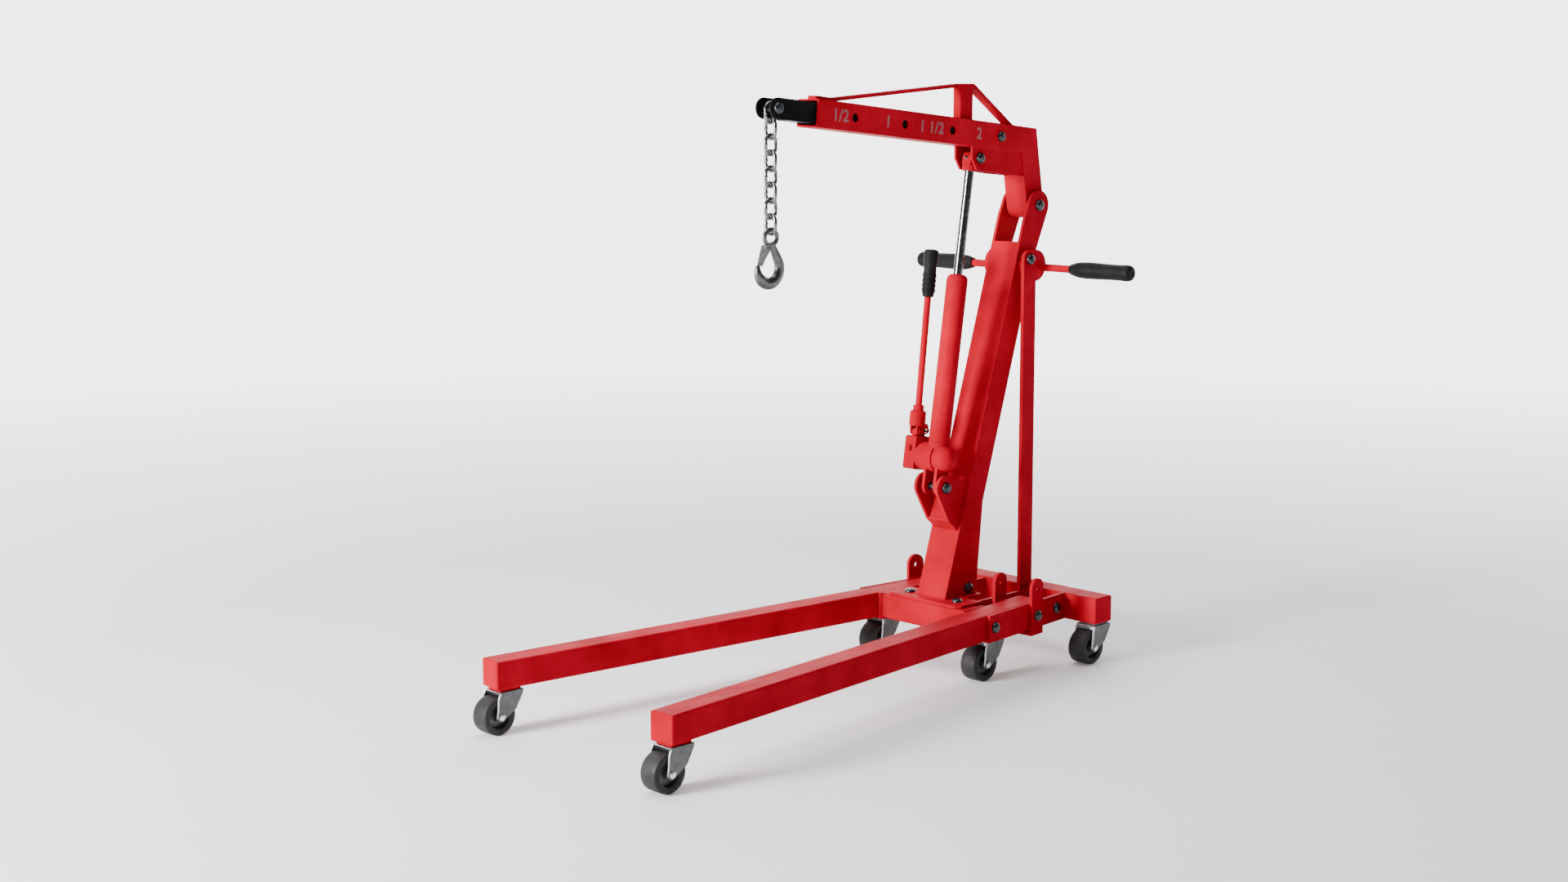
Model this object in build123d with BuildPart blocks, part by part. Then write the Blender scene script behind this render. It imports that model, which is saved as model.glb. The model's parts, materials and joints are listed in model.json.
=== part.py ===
"""Folding engine hoist crane, modelled as an assembly of separate pieces.

Millimetres, +Z up.  The front of the crane faces -Y and its left side is +X.  The origin
is on the floor, under the middle of the whole crane.
"""
import os
from math import acos, atan2, cos, degrees, hypot, radians, sin, tan

from build123d import *

os.makedirs("parts", exist_ok=True)

# ---------------------------------------------------------------- driving dimensions
BEAM_Y = 824.5          # front face of the rear cross beam; other stations count from it
FLOOR_GAP = 121.0       # height of the casters' mounting face above the floor
TUBE = 76.0             # outside of the three inch square tube of the legs
WALL = 4.0              # tube wall

BEAM_HALF = 334.0       # rear cross beam, half length
BEAM_SIZE = 79.0        # rear cross beam, square section

SPLAY = 5.9             # each leg's angle from straight ahead, degrees
LEG_X = 167.65          # leg centre line at the rear beam's front face
LEG_Z = 162.0           # leg centre height
LEG_FRONT = -1708.0     # leg stations, measured along the leg from the rear beam
LEG_PIVOT = -166.0
LEG_LOCK = -368.0
LEG_TAIL = 45.0         # what stands behind the pivot
STOW_RISE = 78.0        # stow hole above the pivot

RAIL_OUT = 102.0        # outer face of the straight inner rails
RAIL_T = 10.0
SOCKET_T = 10.0
LUG_T = 11.0

CROSS_FRONT = -392.0    # front crossmember
CROSS_DEPTH = 76.0
PLATE_T = 8.0           # mast base plate
MAST_W = 108.4
MAST_WALL = 10.0
MAST_LEAN = 17.04       # mast leans back, degrees
MAST_DEPTH = 79.5       # level depth of the mast
MAST_FOOT = (-352.0, 208.0)
MAST_TOP_FRONT = 1237.0
MAST_TOP_REAR = 1209.0

BOOM_PIVOT = (48.0, 1342.0)
RAM_TOP = (-201.0, 1485.0)
RAM_FOOT = (-344.0, 537.0)
CHEEK_R = 44.0

BOOM_TILT = 5.34        # the boom rises to the front, degrees
BOOM_W = 78.0
BOOM_H = 75.0
BOOM_WALL = 5.0
BOOM_NOSE = (-867.0, 1616.0)
BOOM_HOLES = (145.0, 345.0, 545.0)
BOOM_LOCK = 757.0
LOCK_R = 12.0           # locking pin of the extension
KNEE_LEAN = 9.76        # the knee leans back going down, degrees
KNEE_HALF = 38.0

EXT_W = 58.0
EXT_H = 56.0
EXT_TAIL = 807.0
CHAIN_PIN = -137.6      # along the boom from its nose
CHAIN_PIN_R = 9.0

LINK_INNER = 42.3       # inside length of a chain link
LINK_W = 46.0
WIRE = 10.0
LINK_GAP = 0.5
LINKS = 8

RAM_R = 31.0
RAM_BORE = 26.0
ROD_R = 13.5
RAM_NECK = 130.0        # stations along the ram from its foot bolt
RAM_CAP = 600.0
RAM_CAP_END = 621.0
PISTON_AT = 430.0
DRUM_AT = 84.0
DRUM_R = 42.0

PUMP_X = -79.0
PUMP_PIVOT = (-336.0, 690.0)
PUMP_LEAN = 6.3
PLUNGER_BACK = 26.0

HANDLE_Z = 1160.0
HANDLE_Y = 37.0
HANDLE_HALF = 409.0
HANDLE_R = 11.0
GRIP_R = 21.0
GRIP_INNER = 188.0
BOSS_AT = (6.0, 1168.0)
BOSS_R = 46.0
STRUT_IN = 80.0
STRUT_T = 12.0
STRUT_W = 54.0
STRUT_TOP = (-35.0, 1188.0)
STRUT_FOOT = (-29.0, 160.0)

CASTER_TRAIL = 36.0
WHEEL_R = 51.0
WHEEL_W = 56.0
FORK_OUT = 34.5
FORK_T = 3.5
AXLE_R = 6.0

BOLT_R = 8.0
HEAD_R = 16.0
HEAD_H = 11.0
FIT = 0.05              # radial clearance of a running fit
SLACK = 0.3             # radial clearance of a bolt in a plain hole


# ---------------------------------------------------------------- frames of reference
def side_plane(x, y=0.0, z=0.0, lean=0.0):
    """Plane at x that faces +X: local x runs back, local y runs up, both leant back."""
    tilt = radians(lean)
    return Plane(origin=(x, BEAM_Y + y, z), x_dir=(0, cos(tilt), -sin(tilt)), z_dir=(1, 0, 0))


def leg_plane(lateral):
    """Plane beside the left leg that faces outward: local x runs back along the leg, y up."""
    a = radians(SPLAY)
    return Plane(
        origin=(LEG_X + lateral * cos(a), BEAM_Y + lateral * sin(a), 0),
        x_dir=(-sin(a), cos(a), 0),
        z_dir=(cos(a), sin(a), 0),
    )


def axis_plane(x, y, z, lean):
    """Plane square to an axis in the middle plane of the crane that leans back."""
    tilt = radians(lean)
    return Plane(origin=(x, BEAM_Y + y, z), x_dir=(1, 0, 0), z_dir=(0, sin(tilt), cos(tilt)))


def along(start, lean, distance):
    """Point at a distance along an axis that leans back."""
    tilt = radians(lean)
    return start[0] + distance * sin(tilt), start[1] + distance * cos(tilt)


def leg_x(y):
    return LEG_X - y * tan(radians(SPLAY))


RAM_LEAN = degrees(atan2(RAM_TOP[0] - RAM_FOOT[0], RAM_TOP[1] - RAM_FOOT[1]))
RAM_LENGTH = hypot(RAM_TOP[0] - RAM_FOOT[0], RAM_TOP[1] - RAM_FOOT[1])
TILT = radians(BOOM_TILT)


def boom_point(back, up):
    """World y and z of a point given along the boom and up from its centre line."""
    return (
        BOOM_NOSE[0] + back * cos(TILT) + up * sin(TILT),
        BOOM_NOSE[1] - back * sin(TILT) + up * cos(TILT),
    )


def boom_line(y, up):
    """Height at y of the line that runs parallel to the boom, up from its centre line."""
    return BOOM_NOSE[1] + up / cos(TILT) - (y - BOOM_NOSE[0]) * tan(TILT)


def boom_heel():
    """Inside corner where the boom's underside meets the knee's front face."""
    z = BOOM_NOSE[1]
    for _ in range(12):
        z = boom_line(knee_line(z, -KNEE_HALF), -BOOM_H / 2)
    return knee_line(z, -KNEE_HALF), z


def mast_front(z):
    return MAST_FOOT[0] + (z - MAST_FOOT[1]) * tan(radians(MAST_LEAN))


def knee_line(z, offset):
    """Level position of a line parallel to the knee's axis."""
    lean = radians(KNEE_LEAN)
    return BOOM_PIVOT[0] + offset / cos(lean) + (BOOM_PIVOT[1] - z) * tan(lean)


# ---------------------------------------------------------------- shared shapes
def dome_bolt(seat, grip, shank_r=BOLT_R, head_r=HEAD_R, head_h=HEAD_H, nut=True):
    """Bolt whose domed head stands on the seat plane, with a hex nut past the grip."""
    below = (Align.CENTER, Align.CENTER, Align.MAX)
    above = (Align.CENTER, Align.CENTER, Align.MIN)
    with BuildPart(seat) as bolt:
        Cylinder(head_r, head_h, align=above)
        top = bolt.edges().filter_by(GeomType.CIRCLE).sort_by(Axis(seat.origin, seat.z_dir))[-1]
        fillet(top, head_h - 0.6)
        Cylinder(shank_r, grip, align=below)
        if nut:
            nut_h = shank_r * 1.2
            with BuildSketch(seat.offset(-grip)):
                RegularPolygon(radius=shank_r * 1.85, side_count=6)
            extrude(amount=-nut_h)
    return bolt.part


def ring(plane, outer, inner, length):
    """Plain sleeve that stands on a plane."""
    with BuildPart() as sleeve:
        with BuildSketch(plane):
            Circle(outer)
            Circle(inner, mode=Mode.SUBTRACT)
        extrude(amount=length)
    return sleeve.part


def chain_link(y, z, flat):
    """Round steel link centred at y and z; flat links stand in the crane's middle plane."""
    across = Plane(origin=(0, BEAM_Y + y, z), x_dir=(1, 0, 0), z_dir=(0, -1, 0))
    plane = side_plane(0, y, z) if flat else across
    bend = (LINK_W - WIRE) / 2
    half = (LINK_INNER + WIRE) / 2 - bend
    with BuildPart() as link:
        with BuildLine(plane) as path:
            right = Line((bend, -half), (bend, half))
            CenterArc((0, half), bend, 0, 180)
            Line((-bend, half), (-bend, -half))
            CenterArc((0, -half), bend, 180, 180)
        with BuildSketch(Plane(origin=right @ 0, z_dir=right % 0)):
            Circle(WIRE / 2)
        sweep(path=path.wire())
    return link.part


# ---------------------------------------------------------------- base frame
with BuildPart() as rear_beam:
    with BuildSketch(Plane.XY.offset(FLOOR_GAP)):
        with Locations((0, BEAM_Y + BEAM_SIZE / 2)):
            Rectangle(2 * BEAM_HALF, BEAM_SIZE)
    extrude(amount=BEAM_SIZE)
    fillet(rear_beam.edges(), 6)
    with BuildSketch(side_plane(-BEAM_HALF + WALL)):
        with Locations((BEAM_SIZE / 2, FLOOR_GAP + BEAM_SIZE / 2)):
            RectangleRounded(BEAM_SIZE - 2 * WALL, BEAM_SIZE - 2 * WALL, 3)
    extrude(amount=2 * (BEAM_HALF - WALL), mode=Mode.SUBTRACT)
    with BuildSketch(Plane.XY.offset(FLOOR_GAP)):
        with Locations((0, BEAM_Y + BEAM_SIZE / 2)):
            Circle(6)
    extrude(amount=WALL * 2, mode=Mode.SUBTRACT)
rear_beam.part.label = "rear_beam"
export_step(rear_beam.part, "parts/rear_beam.step")


def cross_half(y):
    """Half width of the crossmember, which fits between the splayed leg sockets."""
    return leg_x(y) - (TUBE / 2 + 1 + SOCKET_T) / cos(radians(SPLAY))


CROSS_REAR = CROSS_FRONT + CROSS_DEPTH
CROSS_TOP = 200.0
with BuildPart() as front_crossmember:
    with BuildSketch(Plane.XY.offset(124)):
        with BuildLine():
            Polyline(
                (-cross_half(CROSS_FRONT), BEAM_Y + CROSS_FRONT),
                (cross_half(CROSS_FRONT), BEAM_Y + CROSS_FRONT),
                (cross_half(CROSS_REAR), BEAM_Y + CROSS_REAR),
                (-cross_half(CROSS_REAR), BEAM_Y + CROSS_REAR),
                close=True,
            )
        make_face()
    extrude(amount=CROSS_TOP - 124)
    fillet(front_crossmember.edges().filter_by(Axis.X), 8)
    with BuildSketch(side_plane(-LEG_X * 2)):
        with Locations((CROSS_FRONT + CROSS_DEPTH / 2, (CROSS_TOP + 124) / 2)):
            Rectangle(CROSS_DEPTH - 2 * WALL, CROSS_TOP - 124 - 2 * WALL)
    extrude(amount=LEG_X * 4, mode=Mode.SUBTRACT)
front_crossmember.part.label = "front_crossmember"
export_step(front_crossmember.part, "parts/front_crossmember.step")

RAIL_Z = (124.0, 196.0)
PIVOT_NUT = (LEG_PIVOT * cos(radians(SPLAY)) - 85 * sin(radians(SPLAY)), LEG_Z)
NUT_ROOM = 19.0         # hole that clears the leg pivot bolt's nut
with BuildPart() as inner_rails:
    with BuildSketch(side_plane(RAIL_OUT - RAIL_T)):
        with BuildLine():
            Polyline(
                (CROSS_REAR, RAIL_Z[0]), (0, RAIL_Z[0]), (0, RAIL_Z[1]), (CROSS_REAR, RAIL_Z[1]),
                close=True,
            )
        make_face()
        with Locations(PIVOT_NUT):
            Circle(NUT_ROOM, mode=Mode.SUBTRACT)
    extrude(amount=RAIL_T)
    mirror(about=Plane.YZ)
    with BuildSketch(side_plane(RAIL_OUT - RAIL_T)):
        with Locations(STRUT_FOOT):
            Circle(BOLT_R + SLACK)
    extrude(amount=RAIL_T, mode=Mode.SUBTRACT)
inner_rails.part.label = "inner_rails"
export_step(inner_rails.part, "parts/inner_rails.step")

SOCKET_GAP = TUBE / 2 + 1
SOCKET_FRONT = -395.0
TRAY_T = 2.5
REAR_BOLT = -48.0
with BuildPart() as leg_sockets:
    with BuildSketch(leg_plane(SOCKET_GAP)):
        with BuildLine():
            Polyline(
                (SOCKET_FRONT, FLOOR_GAP), (2, FLOOR_GAP), (2, 200), (SOCKET_FRONT, 200), close=True
            )
        make_face()
        with Locations((LEG_LOCK, LEG_Z), (LEG_PIVOT, LEG_Z), (REAR_BOLT, LEG_Z)):
            Circle(BOLT_R + SLACK, mode=Mode.SUBTRACT)
    extrude(amount=SOCKET_T)
    with BuildSketch(leg_plane(-SOCKET_GAP - SOCKET_T)):
        with BuildLine():
            Polyline(
                (SOCKET_FRONT, FLOOR_GAP), (-298, FLOOR_GAP), (-298, 200), (SOCKET_FRONT, 200),
                close=True,
            )
        make_face()
        with Locations((LEG_LOCK, LEG_Z)):
            Circle(BOLT_R + SLACK, mode=Mode.SUBTRACT)
    extrude(amount=SOCKET_T)
    with BuildSketch(leg_plane(-SOCKET_GAP)):
        with BuildLine():
            Polyline(
                (SOCKET_FRONT, FLOOR_GAP), (-298, FLOOR_GAP),
                (-298, FLOOR_GAP + TRAY_T), (SOCKET_FRONT, FLOOR_GAP + TRAY_T), close=True,
            )
        make_face()
    extrude(amount=2 * SOCKET_GAP)
    split(bisect_by=Plane(origin=(0, BEAM_Y, 0), z_dir=(0, -1, 0)), keep=Keep.TOP)
    mirror(about=Plane.YZ)
leg_sockets.part.label = "leg_sockets"
export_step(leg_sockets.part, "parts/leg_sockets.step")

LUG_TOP = 272.0
LUG_HALF = 29.5
WEB_Z = (105.0, 113.0)
LUG_OUT = SOCKET_GAP + SOCKET_T
LUG_IN = -69.0


def lug_outline(bottom):
    """Side view of a fold bracket lug: a bar with a round top."""
    with BuildSketch() as outline:
        with Locations((LEG_PIVOT, (bottom + LUG_TOP - LUG_HALF) / 2)):
            Rectangle(2 * LUG_HALF, LUG_TOP - LUG_HALF - bottom)
        with Locations((LEG_PIVOT, LUG_TOP - LUG_HALF)):
            Circle(LUG_HALF)
        with Locations((LEG_PIVOT, LEG_Z), (LEG_PIVOT, LEG_Z + STOW_RISE)):
            Circle(BOLT_R + SLACK, mode=Mode.SUBTRACT)
    return outline.sketch


with BuildPart() as fold_brackets:
    with BuildSketch(leg_plane(LUG_OUT)):
        add(lug_outline(WEB_Z[0]))
    extrude(amount=LUG_T)
    with BuildSketch(leg_plane(LUG_IN - LUG_T)):
        add(lug_outline(WEB_Z[0]))
    extrude(amount=LUG_T)
    with BuildSketch(leg_plane(LUG_IN - LUG_T)):
        with Locations((LEG_PIVOT, sum(WEB_Z) / 2)):
            Rectangle(2 * LUG_HALF, WEB_Z[1] - WEB_Z[0])
    extrude(amount=LUG_OUT + 2 * LUG_T - LUG_IN)
    mirror(about=Plane.YZ)
fold_brackets.part.label = "fold_brackets"
export_step(fold_brackets.part, "parts/fold_brackets.step")

BASE_W = 141.0
BASE_BOLT = (92.0, -342.0)
with BuildPart() as mast_base_plate:
    with BuildSketch(Plane.XY.offset(CROSS_TOP)):
        with Locations((0, BEAM_Y - 341)):
            Rectangle(2 * BASE_W, 102)
        with Locations((0, BEAM_Y - 250)):
            Rectangle(150, 84)
        with Locations((BASE_BOLT[0], BEAM_Y + BASE_BOLT[1]), (-BASE_BOLT[0], BEAM_Y + BASE_BOLT[1])):
            Circle(BOLT_R + SLACK, mode=Mode.SUBTRACT)
    extrude(amount=PLATE_T)
    chamfer(mast_base_plate.edges().filter_by(Axis.Z).group_by(Axis.Y)[0], 14)
    chamfer(mast_base_plate.faces().sort_by(Axis.Z)[-1].edges(), 1.5)
mast_base_plate.part.label = "mast_base_plate"
export_step(mast_base_plate.part, "parts/mast_base_plate.step")


# ---------------------------------------------------------------- mast
def mast_outline(inset, low, high):
    """Side view of the leaning mast tube, level at the bottom, inset from its two faces."""
    return [
        (mast_front(low) + inset, low),
        (mast_front(low) + MAST_DEPTH - inset, low),
        (mast_front(high) + MAST_DEPTH - inset, high),
        (mast_front(high) + inset, high),
    ]


CHEEK_LOW = 1195.0
BOOT_TOP = 480.0
BOOT_FOOT = (-215.0, 208.0)
BOOT_WALL = 6.0
FOOT_BOLT = (-250.0, 228.0)
MAST_HALF = MAST_W / 2
with BuildPart() as mast:
    with BuildSketch(side_plane(-MAST_HALF)):
        with BuildLine():
            Polyline(*mast_outline(0, MAST_FOOT[1], MAST_TOP_FRONT), close=True)
        make_face()
    extrude(amount=MAST_W)
    with BuildSketch(side_plane(-MAST_HALF)):
        with BuildLine():
            Polyline(*mast_outline(0, CHEEK_LOW, 1312), close=True)
            CenterArc(BOOM_PIVOT, CHEEK_R, 0, 360)
        make_hull()
    extrude(amount=MAST_W)
    with BuildSketch(side_plane(-MAST_HALF + MAST_WALL)):
        with BuildLine():
            Polyline(*mast_outline(6, MAST_FOOT[1] - 20, MAST_TOP_REAR), close=True)
        make_face()
        with BuildLine():
            Polyline(
                (mast_front(MAST_TOP_REAR - 30) + 6, MAST_TOP_REAR - 30),
                (150, MAST_TOP_REAR), (150, 1420), (-150, 1420), (-150, MAST_TOP_FRONT),
                (mast_front(MAST_TOP_FRONT) + 6, MAST_TOP_FRONT), close=True,
            )
        make_face()
    extrude(amount=MAST_W - 2 * MAST_WALL, mode=Mode.SUBTRACT)
    with BuildSketch(side_plane(-MAST_HALF - 1)):
        with Locations(BOOM_PIVOT):
            Circle(12.3)
    extrude(amount=MAST_W + 2, mode=Mode.SUBTRACT)
    mast_rear = mast_front(BOOT_FOOT[1]) + MAST_DEPTH
    tip = (mast_front(BOOT_TOP) + MAST_DEPTH, BOOT_TOP)
    with BuildSketch(side_plane(-MAST_HALF)):
        with BuildLine():
            Polyline((mast_rear - 2, BOOT_FOOT[1]), BOOT_FOOT, tip, (tip[0] - 2, tip[1]), close=True)
        make_face()
    extrude(amount=MAST_W)
    with BuildSketch(side_plane(-MAST_HALF + BOOT_WALL)):
        with BuildLine():
            Polyline(
                (mast_rear, BOOT_FOOT[1] - 10), (BOOT_FOOT[0] - 8, BOOT_FOOT[1] - 10),
                (tip[0] - 14, tip[1] - 70), (tip[0] - 22, tip[1] - 70), close=True,
            )
        make_face()
    extrude(amount=MAST_W - 2 * BOOT_WALL, mode=Mode.SUBTRACT)
mast.part.label = "mast"
export_step(mast.part, "parts/mast.step")

LOWER_OUT = 46.0
LOWER_T = 10.0
RAM_BOLT_R = 10.0
with BuildPart() as lower_ram_bracket:
    with BuildSketch(side_plane(LOWER_OUT - LOWER_T)):
        with BuildLine():
            Polyline(
                (mast_front(404), 404), (-328, 436), (-330, 560), (mast_front(548), 548), close=True
            )
            CenterArc(RAM_FOOT, 37, 0, 360)
        make_hull()
        with Locations(RAM_FOOT):
            Circle(RAM_BOLT_R + SLACK, mode=Mode.SUBTRACT)
    extrude(amount=LOWER_T)
    mirror(about=Plane.YZ)
    with BuildSketch(side_plane(-LOWER_OUT + LOWER_T)):
        with BuildLine():
            Polyline((mast_front(404), 404), (-328, 436), (-325, 444), (mast_front(413), 413), close=True)
        make_face()
        with BuildLine():
            Polyline((-325, 436), (-304, 520), (-296, 520), (-316, 434), close=True)
        make_face()
    extrude(amount=2 * (LOWER_OUT - LOWER_T))
lower_ram_bracket.part.label = "lower_ram_bracket"
export_step(lower_ram_bracket.part, "parts/lower_ram_bracket.step")


# ---------------------------------------------------------------- push handle
with BuildPart() as strut:
    lean = degrees(atan2(STRUT_TOP[0] - STRUT_FOOT[0], STRUT_TOP[1] - STRUT_FOOT[1]))
    length = hypot(STRUT_TOP[0] - STRUT_FOOT[0], STRUT_TOP[1] - STRUT_FOOT[1])
    with BuildSketch(side_plane(STRUT_IN, STRUT_FOOT[0], STRUT_FOOT[1], lean)):
        with Locations((0, (length - 30) / 2)):
            Rectangle(STRUT_W, length + 30)
        with Locations((0, length)):
            Circle(STRUT_W / 2)
        with Locations((0, 0), (0, length)):
            Circle(BOLT_R + SLACK, mode=Mode.SUBTRACT)
    extrude(amount=STRUT_T)
strut.part.label = "strut"
export_step(strut.part, "parts/strut.step")

with BuildPart() as handle_bosses:
    with BuildSketch(side_plane(MAST_HALF)):
        with Locations(BOSS_AT):
            Circle(BOSS_R)
        with Locations((HANDLE_Y, HANDLE_Z)):
            Circle(HANDLE_R + 0.1, mode=Mode.SUBTRACT)
    extrude(amount=STRUT_IN - MAST_HALF)
    mirror(about=Plane.YZ)
    with BuildSketch(side_plane(MAST_HALF)):
        with Locations(STRUT_TOP):
            Circle(BOLT_R + SLACK)
    extrude(amount=STRUT_IN - MAST_HALF, mode=Mode.SUBTRACT)
handle_bosses.part.label = "handle_bosses"
export_step(handle_bosses.part, "parts/handle_bosses.step")

with BuildPart() as handle_bar:
    with BuildSketch(side_plane(-HANDLE_HALF + 4)):
        with Locations((HANDLE_Y, HANDLE_Z)):
            Circle(HANDLE_R)
            Circle(HANDLE_R - 2.5, mode=Mode.SUBTRACT)
    extrude(amount=2 * (HANDLE_HALF - 4))
handle_bar.part.label = "handle_bar"
export_step(handle_bar.part, "parts/handle_bar.step")

with BuildPart() as handle_grips:
    with BuildSketch(side_plane(GRIP_INNER)):
        with Locations((HANDLE_Y, HANDLE_Z)):
            Circle(GRIP_R)
    extrude(amount=HANDLE_HALF - GRIP_INNER)
    fillet(handle_grips.edges().filter_by(GeomType.CIRCLE), 5)
    with BuildSketch(side_plane(GRIP_INNER)):
        with Locations((HANDLE_Y, HANDLE_Z)):
            Circle(HANDLE_R + 0.05)
    extrude(amount=HANDLE_HALF - GRIP_INNER - 4, mode=Mode.SUBTRACT)
    mirror(about=Plane.YZ)
handle_grips.part.label = "handle_grips"
export_step(handle_grips.part, "parts/handle_grips.step")


# ---------------------------------------------------------------- fixed bolts
def seat(plane, back, up):
    """Plane parallel to a side plane with its origin at a point of that plane."""
    return Plane(
        origin=plane.from_local_coords((back, up, 0)), x_dir=plane.x_dir, z_dir=plane.z_dir
    )


STRUT_OUT = STRUT_IN + STRUT_T
with BuildPart() as frame_bolts:
    add(dome_bolt(seat(leg_plane(LUG_OUT), REAR_BOLT, LEG_Z), SOCKET_T))
    mirror(about=Plane.YZ)
    add(dome_bolt(seat(side_plane(STRUT_OUT), *STRUT_TOP), STRUT_T + 10, nut=False))
    add(dome_bolt(seat(side_plane(RAIL_OUT), *STRUT_FOOT), RAIL_T + STRUT_T - 1, nut=False))
    add(dome_bolt(seat(side_plane(MAST_HALF), *FOOT_BOLT), 0, shank_r=6, nut=False))
    for x in (BASE_BOLT[0], -BASE_BOLT[0]):
        top = Plane(origin=(x, BEAM_Y + BASE_BOLT[1], CROSS_TOP + PLATE_T))
        add(dome_bolt(top, PLATE_T, head_h=9, nut=False))
frame_bolts.part.label = "frame_bolts"
export_step(frame_bolts.part, "parts/frame_bolts.step")

SPACER_R = 14.0
LEG_BOLT_GRIP = LUG_OUT + 2 * LUG_T - LUG_IN
with BuildPart() as leg_pivot_bolts:
    add(dome_bolt(seat(leg_plane(LUG_OUT + LUG_T), LEG_PIVOT, LEG_Z), LEG_BOLT_GRIP))
    mirror(about=Plane.YZ)
leg_pivot_bolts.part.label = "leg_pivot_bolts"
export_step(leg_pivot_bolts.part, "parts/leg_pivot_bolts.step")

with BuildPart() as leg_pivot_spacers:
    spacer_seat = seat(leg_plane(LUG_IN), LEG_PIVOT, LEG_Z)
    add(ring(spacer_seat, SPACER_R, BOLT_R + SLACK, -LUG_IN - TUBE / 2 - SLACK * 2))
    mirror(about=Plane.YZ)
leg_pivot_spacers.part.label = "leg_pivot_spacers"
export_step(leg_pivot_spacers.part, "parts/leg_pivot_spacers.step")

BOOM_BOLT_R = 12.0
WASHER_R = 20.0
with BuildPart() as boom_pivot_bolt:
    pivot_seat = seat(side_plane(MAST_HALF), *BOOM_PIVOT)
    add(dome_bolt(pivot_seat, MAST_W, shank_r=BOOM_BOLT_R, head_r=17, head_h=12))
boom_pivot_bolt.part.label = "boom_pivot_bolt"
export_step(boom_pivot_bolt.part, "parts/boom_pivot_bolt.step")

with BuildPart() as boom_pivot_washers:
    washer_t = MAST_HALF - MAST_WALL - BOOM_W / 2 - 2 * SLACK
    washer_seat = seat(side_plane(BOOM_W / 2 + 2 * SLACK), *BOOM_PIVOT)
    add(ring(washer_seat, WASHER_R, BOOM_BOLT_R + SLACK, washer_t))
    mirror(about=Plane.YZ)
boom_pivot_washers.part.label = "boom_pivot_washers"
export_step(boom_pivot_washers.part, "parts/boom_pivot_washers.step")

with BuildPart() as lower_ram_bolt:
    ram_seat = seat(side_plane(LOWER_OUT), *RAM_FOOT)
    add(dome_bolt(ram_seat, 2 * LOWER_OUT, shank_r=RAM_BOLT_R, head_r=17, head_h=12))
lower_ram_bolt.part.label = "lower_ram_bolt"
export_step(lower_ram_bolt.part, "parts/lower_ram_bolt.step")


# ---------------------------------------------------------------- boom

def boom_side(x):
    """Boom frame at x: origin at the nose centre, local x back along the boom, y up."""
    return side_plane(x, *BOOM_NOSE, BOOM_TILT)


def heel(up, inset=0.0):
    """Where a line along the boom meets the knee's rear face."""
    y = BOOM_PIVOT[0] + 100.0
    for _ in range(8):
        y = knee_line(boom_line(y, up), KNEE_HALF - inset)
    return hypot(y - boom_point(0, up)[0], boom_line(y, up) - boom_point(0, up)[1])


HALF_H = BOOM_H / 2
BUSH_R = 17.0
with BuildPart() as boom_tube:
    with BuildSketch(boom_side(-BOOM_W / 2)):
        with BuildLine():
            Polyline((0, -HALF_H), (heel(-HALF_H), -HALF_H), (heel(HALF_H), HALF_H), (0, HALF_H), close=True)
        make_face()
    extrude(amount=BOOM_W)
    with BuildSketch(side_plane(-BOOM_W / 2)):
        with BuildLine():
            rear_y, rear_z = boom_point(heel(-HALF_H), -HALF_H)
            lean = radians(KNEE_LEAN)
            down = (KNEE_HALF * cos(lean), KNEE_HALF * sin(lean))
            front_low = (BOOM_PIVOT[0] - down[0], BOOM_PIVOT[1] - down[1])
            rear_low = (BOOM_PIVOT[0] + down[0], BOOM_PIVOT[1] + down[1])
            Polyline(rear_low, (rear_y, rear_z), boom_heel(), front_low)
            bottom = (BOOM_PIVOT[0] + KNEE_HALF * sin(lean), BOOM_PIVOT[1] - KNEE_HALF * cos(lean))
            ThreePointArc(front_low, bottom, rear_low)
        make_face()
    extrude(amount=BOOM_W)
    inner = HALF_H - BOOM_WALL
    with BuildSketch(boom_side(-BOOM_W / 2 + BOOM_WALL)):
        with BuildLine():
            Polyline(
                (-1, -inner), (heel(-inner, 6), -inner), (heel(inner, 6), inner), (-1, inner),
                close=True,
            )
        make_face()
    extrude(amount=BOOM_W - 2 * BOOM_WALL, mode=Mode.SUBTRACT)
    with BuildSketch(boom_side(-BOOM_W / 2 - 1)):
        with Locations(*[(back, 0) for back in (*BOOM_HOLES, BOOM_LOCK)]):
            Circle(LOCK_R + SLACK)
    extrude(amount=BOOM_W + 2, mode=Mode.SUBTRACT)
    with BuildSketch(side_plane(-BOOM_W / 2 + 6, *BOOM_PIVOT, KNEE_LEAN * -1)):
        with Locations((0, 75)):
            Rectangle(2 * KNEE_HALF - 12, 110)
    extrude(amount=BOOM_W - 12, mode=Mode.SUBTRACT)
    with BuildSketch(side_plane(-BOOM_W / 2)):
        with Locations(BOOM_PIVOT):
            Circle(BUSH_R)
    extrude(amount=BOOM_W, mode=Mode.SUBTRACT)
boom_tube.part.label = "boom_tube"
export_step(boom_tube.part, "parts/boom_tube.step")

with BuildPart() as boom_pivot_bush:
    bush_seat = seat(side_plane(-BOOM_W / 2), *BOOM_PIVOT)
    add(ring(bush_seat, BUSH_R, BOOM_BOLT_R + FIT, BOOM_W))
boom_pivot_bush.part.label = "boom_pivot_bush"
export_step(boom_pivot_bush.part, "parts/boom_pivot_bush.step")

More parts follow.
